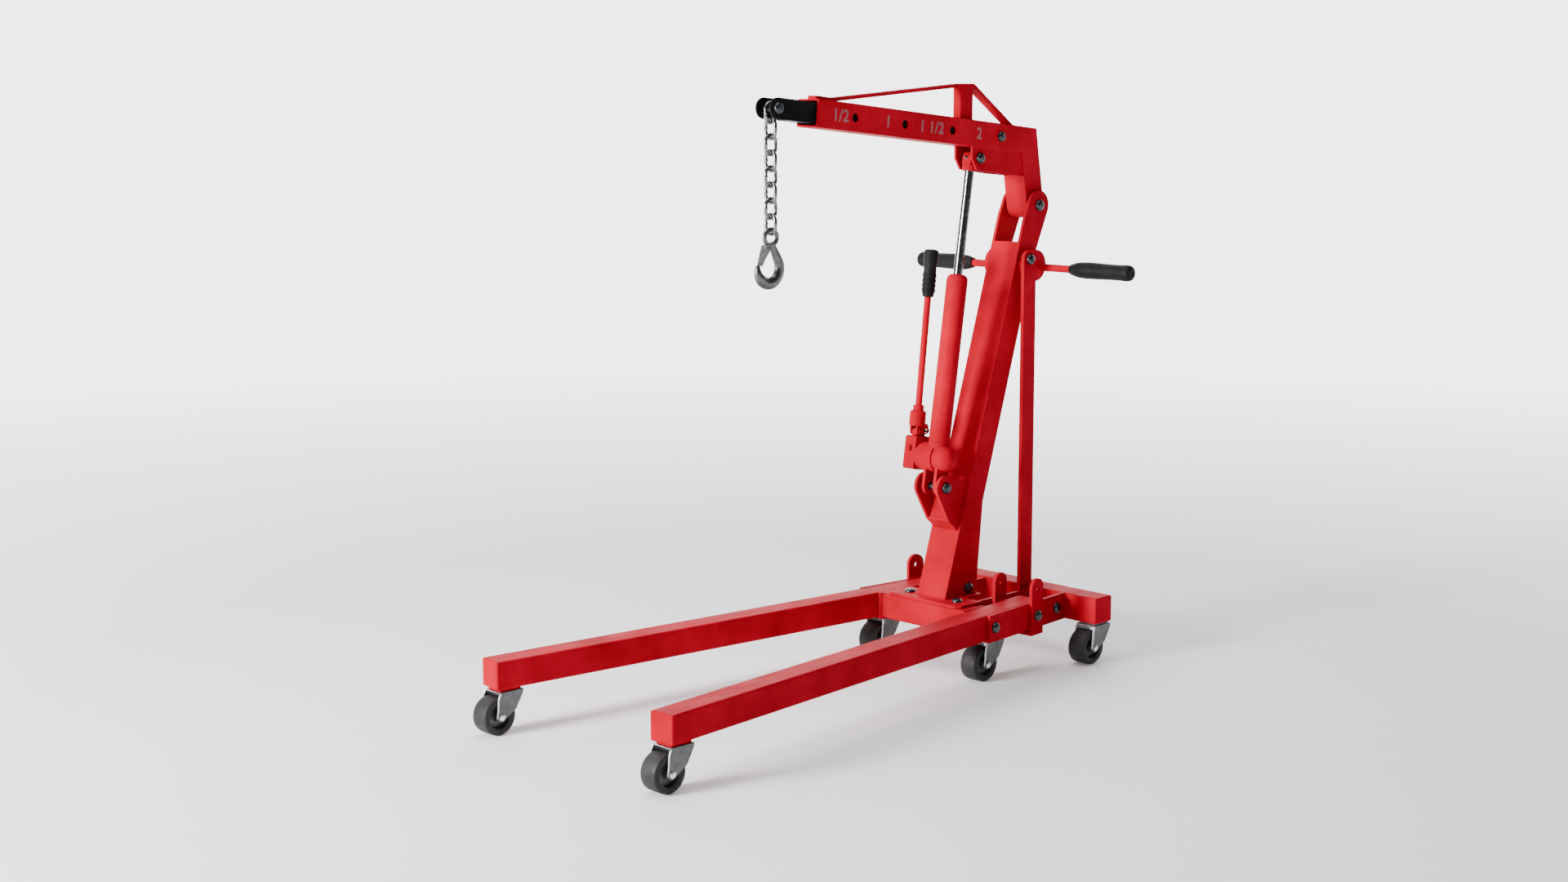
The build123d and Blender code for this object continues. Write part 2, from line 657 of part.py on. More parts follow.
POST = (-266.0, -210.0)
POST_TOP = 1687.0
STRAP_W = 30.0
STRAP_T = 10.0
with BuildPart() as boom_post:
    with BuildSketch(side_plane(-STRAP_W / 2)):
        with BuildLine():
            Polyline(
                (POST[0], boom_line(POST[0], HALF_H)), (POST[1], boom_line(POST[1], HALF_H)),
                (POST[1], POST_TOP), (POST[0], POST_TOP), close=True,
            )
        make_face()
    extrude(amount=STRAP_W)
    fillet(boom_post.edges().filter_by(Axis.Z), 5)
    with BuildSketch(Plane.XY.offset(POST_TOP + 1)):
        with Locations((0, BEAM_Y + sum(POST) / 2)):
            RectangleRounded(STRAP_W - 8, POST[1] - POST[0] - 8, 3)
    extrude(amount=-200, mode=Mode.SUBTRACT)
boom_post.part.label = "boom_post"
export_step(boom_post.part, "parts/boom_post.step")

STRAP_FRONT = -851.0
STRAP_BEND = -785.0
STRAP_HEEL = (-44.0, -27.0)
with BuildPart() as truss_strap:
    with BuildSketch(side_plane(-STRAP_W / 2)):
        with BuildLine():
            Polyline(
                (STRAP_FRONT, boom_line(STRAP_FRONT, HALF_H)),
                (STRAP_BEND, boom_line(STRAP_BEND, HALF_H)),
                (POST[0], POST_TOP),
                (POST[1], POST_TOP),
                (STRAP_HEEL[0], boom_line(STRAP_HEEL[0], HALF_H)),
                (STRAP_HEEL[1], boom_line(STRAP_HEEL[1], HALF_H)),
                (POST[1] + 3, POST_TOP + STRAP_T),
                (POST[0] - 1, POST_TOP + STRAP_T),
                (STRAP_BEND - 1, boom_line(STRAP_BEND, HALF_H) + STRAP_T),
                (STRAP_FRONT, boom_line(STRAP_FRONT, HALF_H) + STRAP_T),
                close=True,
            )
        make_face()
    extrude(amount=STRAP_W)
    bends = truss_strap.edges().filter_by(Axis.X).group_by(Axis.Z)[-1]
    fillet(bends, 14)
truss_strap.part.label = "truss_strap"
export_step(truss_strap.part, "parts/truss_strap.step")

UPPER_OUT = 35.0
UPPER_T = 8.0
with BuildPart() as upper_ram_bracket:
    with BuildSketch(side_plane(UPPER_OUT - UPPER_T)):
        with BuildLine():
            Polyline(
                (-234, boom_line(-234, -HALF_H)), (-234, 1484), (-212, 1451),
                (-97, 1437), (knee_line(1429, -KNEE_HALF), 1429), boom_heel(), close=True
            )
        make_face()
        with Locations(RAM_TOP):
            Circle(RAM_BOLT_R + SLACK, mode=Mode.SUBTRACT)
    extrude(amount=UPPER_T)
    mirror(about=Plane.YZ)
upper_ram_bracket.part.label = "upper_ram_bracket"
export_step(upper_ram_bracket.part, "parts/upper_ram_bracket.step")

EYE_HALF = 16.0
with BuildPart() as upper_ram_bolt:
    upper_seat = seat(side_plane(UPPER_OUT), *RAM_TOP)
    add(dome_bolt(upper_seat, UPPER_OUT - EYE_HALF - 2, shank_r=RAM_BOLT_R, head_h=12, nut=False))
    mirror(about=Plane.YZ)
upper_ram_bolt.part.label = "upper_ram_bolt"
export_step(upper_ram_bolt.part, "parts/upper_ram_bolt.step")


# ---------------------------------------------------------------- boom extension
EAR_CUT = -92.0
EXT_HALF = EXT_H / 2
with BuildPart() as extension_tube:
    with BuildSketch(boom_side(-EXT_W / 2)):
        with BuildLine():
            Polyline(
                (CHAIN_PIN, -EXT_HALF), (EXT_TAIL, -EXT_HALF), (EXT_TAIL, EXT_HALF),
                (CHAIN_PIN, EXT_HALF),
            )
            ThreePointArc(
                (CHAIN_PIN, EXT_HALF), (CHAIN_PIN - EXT_HALF, 0), (CHAIN_PIN, -EXT_HALF)
            )
        make_face()
    extrude(amount=EXT_W)
    with BuildSketch(boom_side(-EXT_W / 2 + BOOM_WALL)):
        with Locations(((EAR_CUT + EXT_TAIL + 1) / 2, 0)):
            Rectangle(EXT_TAIL + 1 - EAR_CUT, EXT_H - 2 * BOOM_WALL)
        with Locations(((EAR_CUT - 180) / 2, 0)):
            Rectangle(180 + EAR_CUT, EXT_H + 2)
    extrude(amount=EXT_W - 2 * BOOM_WALL, mode=Mode.SUBTRACT)
    with BuildSketch(boom_side(-EXT_W / 2 - 1)):
        with Locations((CHAIN_PIN, 0)):
            Circle(CHAIN_PIN_R + SLACK)
        with Locations((BOOM_LOCK, 0)):
            Circle(LOCK_R + SLACK)
    extrude(amount=EXT_W + 2, mode=Mode.SUBTRACT)
extension_tube.part.label = "extension_tube"
export_step(extension_tube.part, "parts/extension_tube.step")

with BuildPart() as chain_pin:
    pin_seat = seat(boom_side(EXT_W / 2), CHAIN_PIN, 0)
    add(dome_bolt(pin_seat, EXT_W, shank_r=CHAIN_PIN_R, head_h=10))
chain_pin.part.label = "chain_pin"
export_step(chain_pin.part, "parts/chain_pin.step")

with BuildPart() as extension_lock_pin:
    lock_seat = seat(boom_side(BOOM_W / 2), BOOM_LOCK, 0)
    add(dome_bolt(lock_seat, BOOM_WALL - 1, shank_r=LOCK_R, head_r=15, head_h=10, nut=False))
extension_lock_pin.part.label = "extension_lock_pin"
export_step(extension_lock_pin.part, "parts/extension_lock_pin.step")


# ---------------------------------------------------------------- chain and hook
PIN_Y, PIN_Z = boom_point(CHAIN_PIN, 0)
FIRST_LINK = PIN_Z + CHAIN_PIN_R + LINK_GAP - LINK_INNER / 2
PITCH = LINK_INNER - LINK_GAP
HALF_LINKS = LINKS // 2
with BuildPart() as chain_upper:
    for n in range(HALF_LINKS):
        add(chain_link(PIN_Y, FIRST_LINK - n * PITCH, n % 2 == 0))
chain_upper.part.label = "chain_upper"
export_step(chain_upper.part, "parts/chain_upper.step")

with BuildPart() as chain_lower:
    for n in range(HALF_LINKS, LINKS):
        add(chain_link(PIN_Y, FIRST_LINK - n * PITCH, n % 2 == 0))
chain_lower.part.label = "chain_lower"
export_step(chain_lower.part, "parts/chain_lower.step")

EYE_R = 20.0
EYE_WIRE = 6.0
EYE_Z = FIRST_LINK - (LINKS - 1) * PITCH - LINK_INNER / 2 + LINK_GAP - EYE_R + EYE_WIRE
HOOK_WIRE = 11.0
BOWL = (-1012.0, EYE_Z - 82)
BOWL_R = 38.0
NECK_AT = 28.0
NECK_RUN = 50.0
LATCH_PIN = (PIN_Y - 16, EYE_Z - 27)


def bowl_point(angle, run=0.0):
    """Point of the hook bowl's centre line, 0 degrees at the back, or a run off its tangent."""
    a = radians(angle)
    return (
        BOWL[0] + BOWL_R * cos(a) - run * sin(a),
        BOWL[1] + BOWL_R * sin(a) + run * cos(a),
    )


with BuildPart() as hook:
    with BuildLine(side_plane(0)) as bowl:
        neck = Line(bowl_point(NECK_AT, NECK_RUN), bowl_point(NECK_AT))
        ThreePointArc(bowl_point(NECK_AT), bowl_point(-80), bowl_point(-192))
    with BuildSketch(Plane(origin=neck @ 0, z_dir=neck % 0)):
        Circle(HOOK_WIRE)
    sweep(path=bowl.wire())
    with BuildSketch(Plane(origin=(0, BEAM_Y + PIN_Y, EYE_Z), x_dir=(1, 0, 0), z_dir=(0, -1, 0))):
        with Locations((0, EYE_R)):
            Circle(EYE_WIRE)
    revolve(axis=Axis((0, BEAM_Y + PIN_Y, EYE_Z), (1, 0, 0)))
    with BuildSketch(side_plane(-5)):
        with Locations(LATCH_PIN):
            Circle(5.5)
        with Locations((LATCH_PIN[0] + 5, LATCH_PIN[1])):
            Rectangle(10, 11)
    extrude(amount=10)
    with BuildSketch(side_plane(-7)):
        with Locations(LATCH_PIN):
            Circle(2 + FIT)
    extrude(amount=14, mode=Mode.SUBTRACT)
hook.part.label = "hook"
export_step(hook.part, "parts/hook.step")

LATCH_W = 9.0
LATCH_END = (BOWL[0] - 24.0, BOWL[1] + 10.0)
with BuildPart() as hook_latch:
    fall = (LATCH_END[0] - LATCH_PIN[0], LATCH_END[1] - LATCH_PIN[1])
    reach = hypot(*fall)
    lean = degrees(atan2(fall[0], -fall[1])) * -1
    with BuildSketch(side_plane(-LATCH_W, *LATCH_PIN, lean)):
        with Locations((-7.5, -reach / 2 + 1)):
            Rectangle(2, reach - 2)
    extrude(amount=2 * LATCH_W)
    with BuildSketch(side_plane(-LATCH_W, *LATCH_PIN, lean)):
        Circle(5)
        with Locations((-4.5, -4)):
            Rectangle(8, 9)
    extrude(amount=2.4)
    with BuildSketch(side_plane(LATCH_W - 2.4, *LATCH_PIN, lean)):
        Circle(5)
        with Locations((-4.5, -4)):
            Rectangle(8, 9)
    extrude(amount=2.4)
    with BuildSketch(side_plane(-LATCH_W, *LATCH_PIN)):
        Circle(2)
    extrude(amount=2 * LATCH_W)
hook_latch.part.label = "hook_latch"
export_step(hook_latch.part, "parts/hook_latch.step")


# ---------------------------------------------------------------- hydraulic ram
def ram_side(x):
    """Ram frame at x: origin at the foot bolt, local x back, y up along the ram."""
    return side_plane(x, *RAM_FOOT, RAM_LEAN)


def ram_station(distance):
    """Plane square to the ram at a distance up from its foot bolt."""
    return axis_plane(0, *along(RAM_FOOT, RAM_LEAN, distance), RAM_LEAN)


LUG_INNER = 16.0
LUG_OUTER = 27.0
BALL_X = 27.0
BALL_R = 38.0
BLOCK_X = (-98.0, -60.0)
BLOCK = (-38.0, 38.0, 42.0, 140.0)
PLUNGER_R = 8.0
PLUNGER_Y = BEAM_Y + PUMP_PIVOT[0] + PLUNGER_BACK
PLUNGER_FOOT = 640.0
PUMP_PIN_R = 5.0
PUMP_BAR_R = 10.0
VALVE_R = 5.0
VALVE_GAP = 0.4
VALVE_SEAT = Plane(
    origin=ram_side(PUMP_X).from_local_coords((BLOCK[0], 104, 0)),
    x_dir=(1, 0, 0),
    z_dir=-ram_side(0).x_dir,
)
with BuildPart() as ram_base:
    with BuildSketch(ram_side(BLOCK_X[1])):
        with Locations((0, DRUM_AT)):
            Circle(DRUM_R)
    extrude(amount=8 - BLOCK_X[1])
    with BuildSketch(ram_side(0)):
        with Locations((0, DRUM_AT)):
            Circle(BALL_R)
    extrude(amount=BALL_X)
    with BuildSketch(Plane(origin=ram_station(DRUM_AT).origin + (BALL_X, 0, 0), x_dir=(1, 0, 0),
                           z_dir=ram_side(0).x_dir)):
        Circle(BALL_R)
        with Locations((-BALL_R, 0)):
            Rectangle(2 * BALL_R, 2 * BALL_R, mode=Mode.SUBTRACT)
        with Locations((0, -BALL_R)):
            Rectangle(4 * BALL_R, 2 * BALL_R, mode=Mode.SUBTRACT)
    revolve(axis=Axis(ram_station(DRUM_AT).origin, (1, 0, 0)))
    with BuildSketch(ram_station(DRUM_AT)):
        Circle(RAM_R)
    extrude(amount=RAM_NECK - DRUM_AT)
    with BuildSketch(ram_side(BLOCK_X[0])):
        with Locations(((BLOCK[0] + BLOCK[1]) / 2, (BLOCK[2] + BLOCK[3]) / 2)):
            RectangleRounded(BLOCK[1] - BLOCK[0], BLOCK[3] - BLOCK[2], 9)
    extrude(amount=BLOCK_X[1] - BLOCK_X[0] + 4)
    for x in (LUG_INNER, -LUG_OUTER):
        with BuildSketch(ram_side(x)):
            with Locations((0, DRUM_AT / 2)):
                Rectangle(50, DRUM_AT)
            Circle(25)
            Circle(RAM_BOLT_R + FIT, mode=Mode.SUBTRACT)
        extrude(amount=LUG_OUTER - LUG_INNER)
    with BuildSketch(side_plane(PUMP_X - 8)):
        with Locations(PUMP_PIVOT):
            Circle(11)
        with Locations((PUMP_PIVOT[0], PUMP_PIVOT[1] - 14)):
            Rectangle(22, 28)
        with Locations(PUMP_PIVOT):
            Circle(PUMP_PIN_R + SLACK, mode=Mode.SUBTRACT)
    extrude(amount=16)
    with BuildSketch(Plane(origin=(PUMP_X, PLUNGER_Y, PLUNGER_FOOT - 3))):
        Circle(PLUNGER_R + FIT)
    extrude(amount=80, mode=Mode.SUBTRACT)
    with BuildSketch(VALVE_SEAT):
        Circle(VALVE_R + FIT)
    extrude(amount=-17, mode=Mode.SUBTRACT)
ram_base.part.label = "ram_base"
export_step(ram_base.part, "parts/ram_base.step")

with BuildPart() as ram_cylinder:
    with BuildSketch(ram_station(RAM_NECK)):
        Circle(RAM_R)
        Circle(RAM_BORE, mode=Mode.SUBTRACT)
    extrude(amount=RAM_CAP - RAM_NECK)
ram_cylinder.part.label = "ram_cylinder"
export_step(ram_cylinder.part, "parts/ram_cylinder.step")

with BuildPart() as ram_gland:
    with BuildSketch(ram_station(RAM_CAP)):
        Circle(RAM_R)
    extrude(amount=RAM_CAP_END - RAM_CAP)
    fillet(ram_gland.edges().sort_by(Axis.Z)[-1], 17)
    with BuildSketch(ram_station(RAM_CAP)):
        Circle(ROD_R + FIT)
    extrude(amount=RAM_CAP_END - RAM_CAP, mode=Mode.SUBTRACT)
ram_gland.part.label = "ram_gland"
export_step(ram_gland.part, "parts/ram_gland.step")

COLLAR_R = 21.0
COLLAR = (922.0, 938.0)
EYE_OUT = 18.0
with BuildPart() as ram_rod:
    with BuildSketch(ram_station(PISTON_AT)):
        Circle(ROD_R)
    extrude(amount=RAM_LENGTH - EYE_OUT - PISTON_AT)
    with BuildSketch(ram_station(COLLAR[0])):
        Circle(COLLAR_R)
    extrude(amount=COLLAR[1] - COLLAR[0])
    with BuildSketch(ram_side(-EYE_HALF)):
        with Locations((0, RAM_LENGTH)):
            Circle(EYE_OUT)
        with Locations((0, (RAM_LENGTH + COLLAR[1]) / 2)):
            Rectangle(2 * EYE_OUT, RAM_LENGTH - COLLAR[1])
        with Locations((0, RAM_LENGTH)):
            Circle(RAM_BOLT_R + SLACK, mode=Mode.SUBTRACT)
    extrude(amount=2 * EYE_HALF)
    with BuildSketch(ram_side(-EYE_HALF)):
        with Locations((0, RAM_LENGTH)):
            Circle(RAM_BOLT_R + SLACK)
    extrude(amount=2 * EYE_HALF, mode=Mode.SUBTRACT)
ram_rod.part.label = "ram_rod"
export_step(ram_rod.part, "parts/ram_rod.step")

with BuildPart() as ram_piston:
    with BuildSketch(ram_station(PISTON_AT - 24)):
        Circle(RAM_BORE - FIT)
    extrude(amount=24)
    with BuildSketch(ram_station(PISTON_AT - 15)):
        Circle(RAM_BORE)
        Circle(RAM_BORE - 3, mode=Mode.SUBTRACT)
    extrude(amount=6, mode=Mode.SUBTRACT)
ram_piston.part.label = "ram_piston"
export_step(ram_piston.part, "parts/ram_piston.step")


# ---------------------------------------------------------------- hand pump
def pump_station(distance):
    """Plane square to the pump lever at a distance up from its pivot."""
    return axis_plane(PUMP_X, *along(PUMP_PIVOT, PUMP_LEAN, distance), PUMP_LEAN)


with BuildPart() as pump_pin:
    with BuildSketch(side_plane(PUMP_X - 18)):
        with Locations(PUMP_PIVOT):
            Circle(PUMP_PIN_R)
    extrude(amount=36)
    with BuildSketch(side_plane(PUMP_X + 16)):
        with Locations(PUMP_PIVOT):
            Circle(PUMP_PIN_R + 3)
    extrude(amount=3)
pump_pin.part.label = "pump_pin"
export_step(pump_pin.part, "parts/pump_pin.step")

SOCKET = (17.0, 62.0, 78.0)
with BuildPart() as pump_socket:
    with BuildSketch(pump_station(SOCKET[0])):
        Circle(24)
    extrude(amount=SOCKET[1] - SOCKET[0])
    fillet(pump_socket.edges().sort_by(Axis.Z)[-1], 7)
    with BuildSketch(pump_station(SOCKET[1] - 7)):
        Circle(16)
    extrude(amount=SOCKET[2] - SOCKET[1] + 7)
    for x in (PUMP_X - 15, PUMP_X + 9):
        with BuildSketch(side_plane(x)):
            with Locations((PUMP_PIVOT[0] + 11, PUMP_PIVOT[1] + 6)):
                RectangleRounded(48, 30, 8)
            with Locations(PUMP_PIVOT):
                Circle(PUMP_PIN_R + FIT, mode=Mode.SUBTRACT)
            with Locations((PUMP_PIVOT[0] + PLUNGER_BACK, PUMP_PIVOT[1])):
                SlotOverall(20, 11, mode=Mode.SUBTRACT)
        extrude(amount=6)
    with BuildSketch(pump_station(32)):
        Circle(PUMP_BAR_R + FIT)
    extrude(amount=60, mode=Mode.SUBTRACT)
pump_socket.part.label = "pump_socket"
export_step(pump_socket.part, "parts/pump_socket.step")

GRIP = (405.0, 534.0)
with BuildPart() as pump_bar:
    with BuildSketch(pump_station(32)):
        Circle(PUMP_BAR_R)
    extrude(amount=GRIP[1] - 10 - 32)
pump_bar.part.label = "pump_bar"
export_step(pump_bar.part, "parts/pump_bar.step")

with BuildPart() as pump_grip:
    with BuildSketch(pump_station(GRIP[0])):
        Circle(21)
    extrude(amount=GRIP[1] - GRIP[0])
    fillet(pump_grip.edges().filter_by(GeomType.CIRCLE), 6)
    with BuildSketch(pump_station(GRIP[0])):
        Circle(PUMP_BAR_R + FIT)
    extrude(amount=GRIP[1] - GRIP[0] - 10, mode=Mode.SUBTRACT)
pump_grip.part.label = "pump_grip"
export_step(pump_grip.part, "parts/pump_grip.step")

with BuildPart() as pump_plunger:
    with BuildSketch(Plane(origin=(PUMP_X, PLUNGER_Y, PLUNGER_FOOT))):
        Circle(PLUNGER_R)
    extrude(amount=PUMP_PIVOT[1] + 7 - PLUNGER_FOOT)
    with BuildSketch(side_plane(PUMP_X - 14)):
        with Locations((PUMP_PIVOT[0] + PLUNGER_BACK, PUMP_PIVOT[1])):
            Circle(4)
    extrude(amount=28)
pump_plunger.part.label = "pump_plunger"
export_step(pump_plunger.part, "parts/pump_plunger.step")

with BuildPart() as release_valve:
    with BuildSketch(VALVE_SEAT.offset(VALVE_GAP)):
        Circle(VALVE_R)
    extrude(amount=-14)
    with BuildSketch(VALVE_SEAT.offset(VALVE_GAP)):
        Circle(9)
    extrude(amount=7)
    with BuildSketch(VALVE_SEAT.offset(4)):
        Rectangle(30, 3)
    extrude(amount=4, mode=Mode.SUBTRACT)
release_valve.part.label = "release_valve"
export_step(release_valve.part, "parts/release_valve.step")


# ---------------------------------------------------------------- casters
PLATE_UNDER = 117.0
KING_R = 8.0
KING_HEAD = (108.0, 112.2)


def caster_plate(x, y, top):
    """Fixed plate with the riveted king pin that the fork turns on."""
    with BuildPart() as plate:
        with BuildSketch(Plane(origin=(x, BEAM_Y + y, PLATE_UNDER))):
            RectangleRounded(60, 66, 6)
        extrude(amount=top - PLATE_UNDER)
        with BuildSketch(Plane(origin=(x, BEAM_Y + y, KING_HEAD[0]))):
            Circle(KING_R)
        extrude(amount=PLATE_UNDER - KING_HEAD[0])
        with BuildSketch(Plane(origin=(x, BEAM_Y + y, KING_HEAD[0]))):
            Circle(12)
        extrude(amount=KING_HEAD[1] - KING_HEAD[0])
    return plate.part


def caster_fork(x, y):
    """Bent steel fork with its axle; the wheel trails to the front."""
    axle = (y - CASTER_TRAIL, WHEEL_R)
    web = (KING_HEAD[1] + 0.4, PLATE_UNDER - 0.4)
    with BuildPart() as fork:
        with BuildSketch(Plane(origin=(x, BEAM_Y + y, web[0]))):
            Rectangle(2 * FORK_OUT, 72)
            Circle(KING_R + FIT, mode=Mode.SUBTRACT)
        extrude(amount=web[1] - web[0])
        for side in (x - FORK_OUT, x + FORK_OUT - FORK_T):
            with BuildSketch(side_plane(side)):
                with BuildLine():
                    Polyline(
                        (y + 36, web[1]), (y - 36, web[1]), (y - 44, 98), (y - 47, 60),
                        (y + 12, 67), (y + 33, 104), close=True,
                    )
                    CenterArc(axle, 13, 0, 360)
                make_hull()
                with Locations(axle):
                    Circle(AXLE_R, mode=Mode.SUBTRACT)
            extrude(amount=FORK_T)
        with BuildSketch(side_plane(x - FORK_OUT - 3)):
            with Locations(axle):
                Circle(AXLE_R)
        extrude(amount=2 * FORK_OUT + 6)
        for side in (x - FORK_OUT - 3, x + FORK_OUT):
            with BuildSketch(side_plane(side)):
                with Locations(axle):
                    Circle(9)
            extrude(amount=3)
    return fork.part


def caster_wheel(x, y):
    """Solid tyred wheel with a dished hub, square to X."""
    half = WHEEL_W / 2
    with BuildPart() as wheel:
        with BuildSketch(side_plane(x - half)):
            with Locations((y - CASTER_TRAIL, WHEEL_R)):
                Circle(WHEEL_R)
        extrude(amount=WHEEL_W)
        fillet(wheel.edges().filter_by(GeomType.CIRCLE), 6)
        for start, depth in ((x - half, 16), (x + half - 16, 16)):
            with BuildSketch(side_plane(start)):
                with Locations((y - CASTER_TRAIL, WHEEL_R)):
                    Circle(34)
                    Circle(13, mode=Mode.SUBTRACT)
            extrude(amount=depth, mode=Mode.SUBTRACT)
        with BuildSketch(side_plane(x - half - 1)):
            with Locations((y - CASTER_TRAIL, WHEEL_R)):
                Circle(13)
        extrude(amount=WHEEL_W + 2)
        with BuildSketch(side_plane(x - half - 1)):
            with Locations((y - CASTER_TRAIL, WHEEL_R)):
                Circle(AXLE_R + FIT)
        extrude(amount=WHEEL_W + 2, mode=Mode.SUBTRACT)
    return wheel.part


FRONT_CASTER_Y = -1654.0
MID_CASTER_Y = -334.0
CASTER_SPOTS = {
    "front": (leg_x(FRONT_CASTER_Y), FRONT_CASTER_Y),
    "middle": (leg_x(MID_CASTER_Y), MID_CASTER_Y),
    "rear": (298.0, BEAM_SIZE / 2),
}
for place, (spot_x, spot_y) in CASTER_SPOTS.items():
    for side, sign in (("left", 1), ("right", -1)):
        with BuildPart() as fork_node:
            add(caster_fork(sign * spot_x, spot_y))
        fork_node.part.label = f"caster_fork_{place}_{side}"
        export_step(fork_node.part, f"parts/caster_fork_{place}_{side}.step")
        with BuildPart() as wheel_node:
            add(caster_wheel(sign * spot_x, spot_y))
        wheel_node.part.label = f"caster_wheel_{place}_{side}"
        export_step(wheel_node.part, f"parts/caster_wheel_{place}_{side}.step")

with BuildPart() as caster_plates:
    add(caster_plate(*CASTER_SPOTS["middle"], FLOOR_GAP))
    add(caster_plate(*CASTER_SPOTS["rear"], FLOOR_GAP))
    mirror(about=Plane.YZ)
caster_plates.part.label = "caster_plates"
export_step(caster_plates.part, "parts/caster_plates.step")


# ---------------------------------------------------------------- legs
with BuildPart() as leg_left:
    low, high = LEG_Z - TUBE / 2, LEG_Z + TUBE / 2
    arc_start = LEG_PIVOT + (LEG_TAIL ** 2 - (TUBE / 2) ** 2) ** 0.5
    with BuildSketch(leg_plane(-TUBE / 2)):
        with BuildLine():
            Polyline(
                (arc_start, low), (LEG_FRONT, low), (LEG_FRONT, high), (LEG_PIVOT + LEG_TAIL, high),
                (LEG_PIVOT + LEG_TAIL, LEG_Z),
            )
            half_turn = -acos((arc_start - LEG_PIVOT) / LEG_TAIL) / 2
            ThreePointArc(
                (LEG_PIVOT + LEG_TAIL, LEG_Z),
                (LEG_PIVOT + LEG_TAIL * cos(half_turn), LEG_Z + LEG_TAIL * sin(half_turn)),
                (arc_start, low),
            )
        make_face()
    extrude(amount=TUBE)
    fillet(leg_left.faces().sort_by(Axis.Y)[0].edges(), 6)
    fillet(
        leg_left.edges().filter_by(GeomType.LINE).filter_by(lambda e: e.length > 1000), 5
    )
    with BuildSketch(leg_plane(-TUBE / 2 + WALL)):
        with BuildLine():
            Polyline(
                (LEG_FRONT + WALL, low + WALL), (0, low + WALL), (0, high - WALL),
                (LEG_FRONT + WALL, high - WALL), close=True,
            )
        make_face()
    extrude(amount=TUBE - 2 * WALL, mode=Mode.SUBTRACT)
    with BuildSketch(leg_plane(-TUBE)):
        with Locations((LEG_PIVOT, LEG_Z), (LEG_LOCK, LEG_Z), (LEG_PIVOT - STOW_RISE, LEG_Z)):
            Circle(BOLT_R + FIT)
    extrude(amount=2 * TUBE, mode=Mode.SUBTRACT)
    add(caster_plate(*CASTER_SPOTS["front"], low))
leg_left.part.label = "leg_left"
export_step(leg_left.part, "parts/leg_left.step")

with BuildPart() as leg_right:
    mirror(leg_left.part, about=Plane.YZ)
leg_right.part.label = "leg_right"
export_step(leg_right.part, "parts/leg_right.step")

with BuildPart() as leg_lock_pin_left:
    add(dome_bolt(seat(leg_plane(LUG_OUT), LEG_LOCK, LEG_Z), SOCKET_T - 0.5, nut=False))
leg_lock_pin_left.part.label = "leg_lock_pin_left"
export_step(leg_lock_pin_left.part, "parts/leg_lock_pin_left.step")

with BuildPart() as leg_lock_pin_right:
    mirror(leg_lock_pin_left.part, about=Plane.YZ)
leg_lock_pin_right.part.label = "leg_lock_pin_right"
export_step(leg_lock_pin_right.part, "parts/leg_lock_pin_right.step")
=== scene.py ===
"""Looks of the folding engine hoist crane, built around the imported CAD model."""
import json
from math import cos, pi, radians, sin

import bpy
from mathutils import Matrix, Vector


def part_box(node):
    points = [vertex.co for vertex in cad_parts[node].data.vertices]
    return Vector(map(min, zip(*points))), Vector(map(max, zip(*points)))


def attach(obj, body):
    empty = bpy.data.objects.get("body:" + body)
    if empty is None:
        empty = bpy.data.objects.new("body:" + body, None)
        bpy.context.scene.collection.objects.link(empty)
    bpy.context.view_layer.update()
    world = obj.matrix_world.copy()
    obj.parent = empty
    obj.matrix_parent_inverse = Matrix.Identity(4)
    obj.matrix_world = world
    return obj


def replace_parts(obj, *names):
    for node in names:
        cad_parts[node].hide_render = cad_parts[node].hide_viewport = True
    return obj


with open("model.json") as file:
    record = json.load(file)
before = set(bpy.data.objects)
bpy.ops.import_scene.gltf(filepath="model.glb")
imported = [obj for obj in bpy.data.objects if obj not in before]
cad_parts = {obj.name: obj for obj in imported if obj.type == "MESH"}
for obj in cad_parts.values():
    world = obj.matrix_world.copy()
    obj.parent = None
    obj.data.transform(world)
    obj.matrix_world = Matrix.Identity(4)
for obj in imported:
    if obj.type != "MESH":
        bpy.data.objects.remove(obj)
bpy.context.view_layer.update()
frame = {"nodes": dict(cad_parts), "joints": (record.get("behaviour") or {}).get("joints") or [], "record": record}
JOINTS = {joint["name"]: joint for joint in frame["joints"]}
MM = 0.001
OUT = Vector((1, 0, 0))     # to the crane's left side
BACK = Vector((0, 1, 0))
UP = Vector((0, 0, 1))


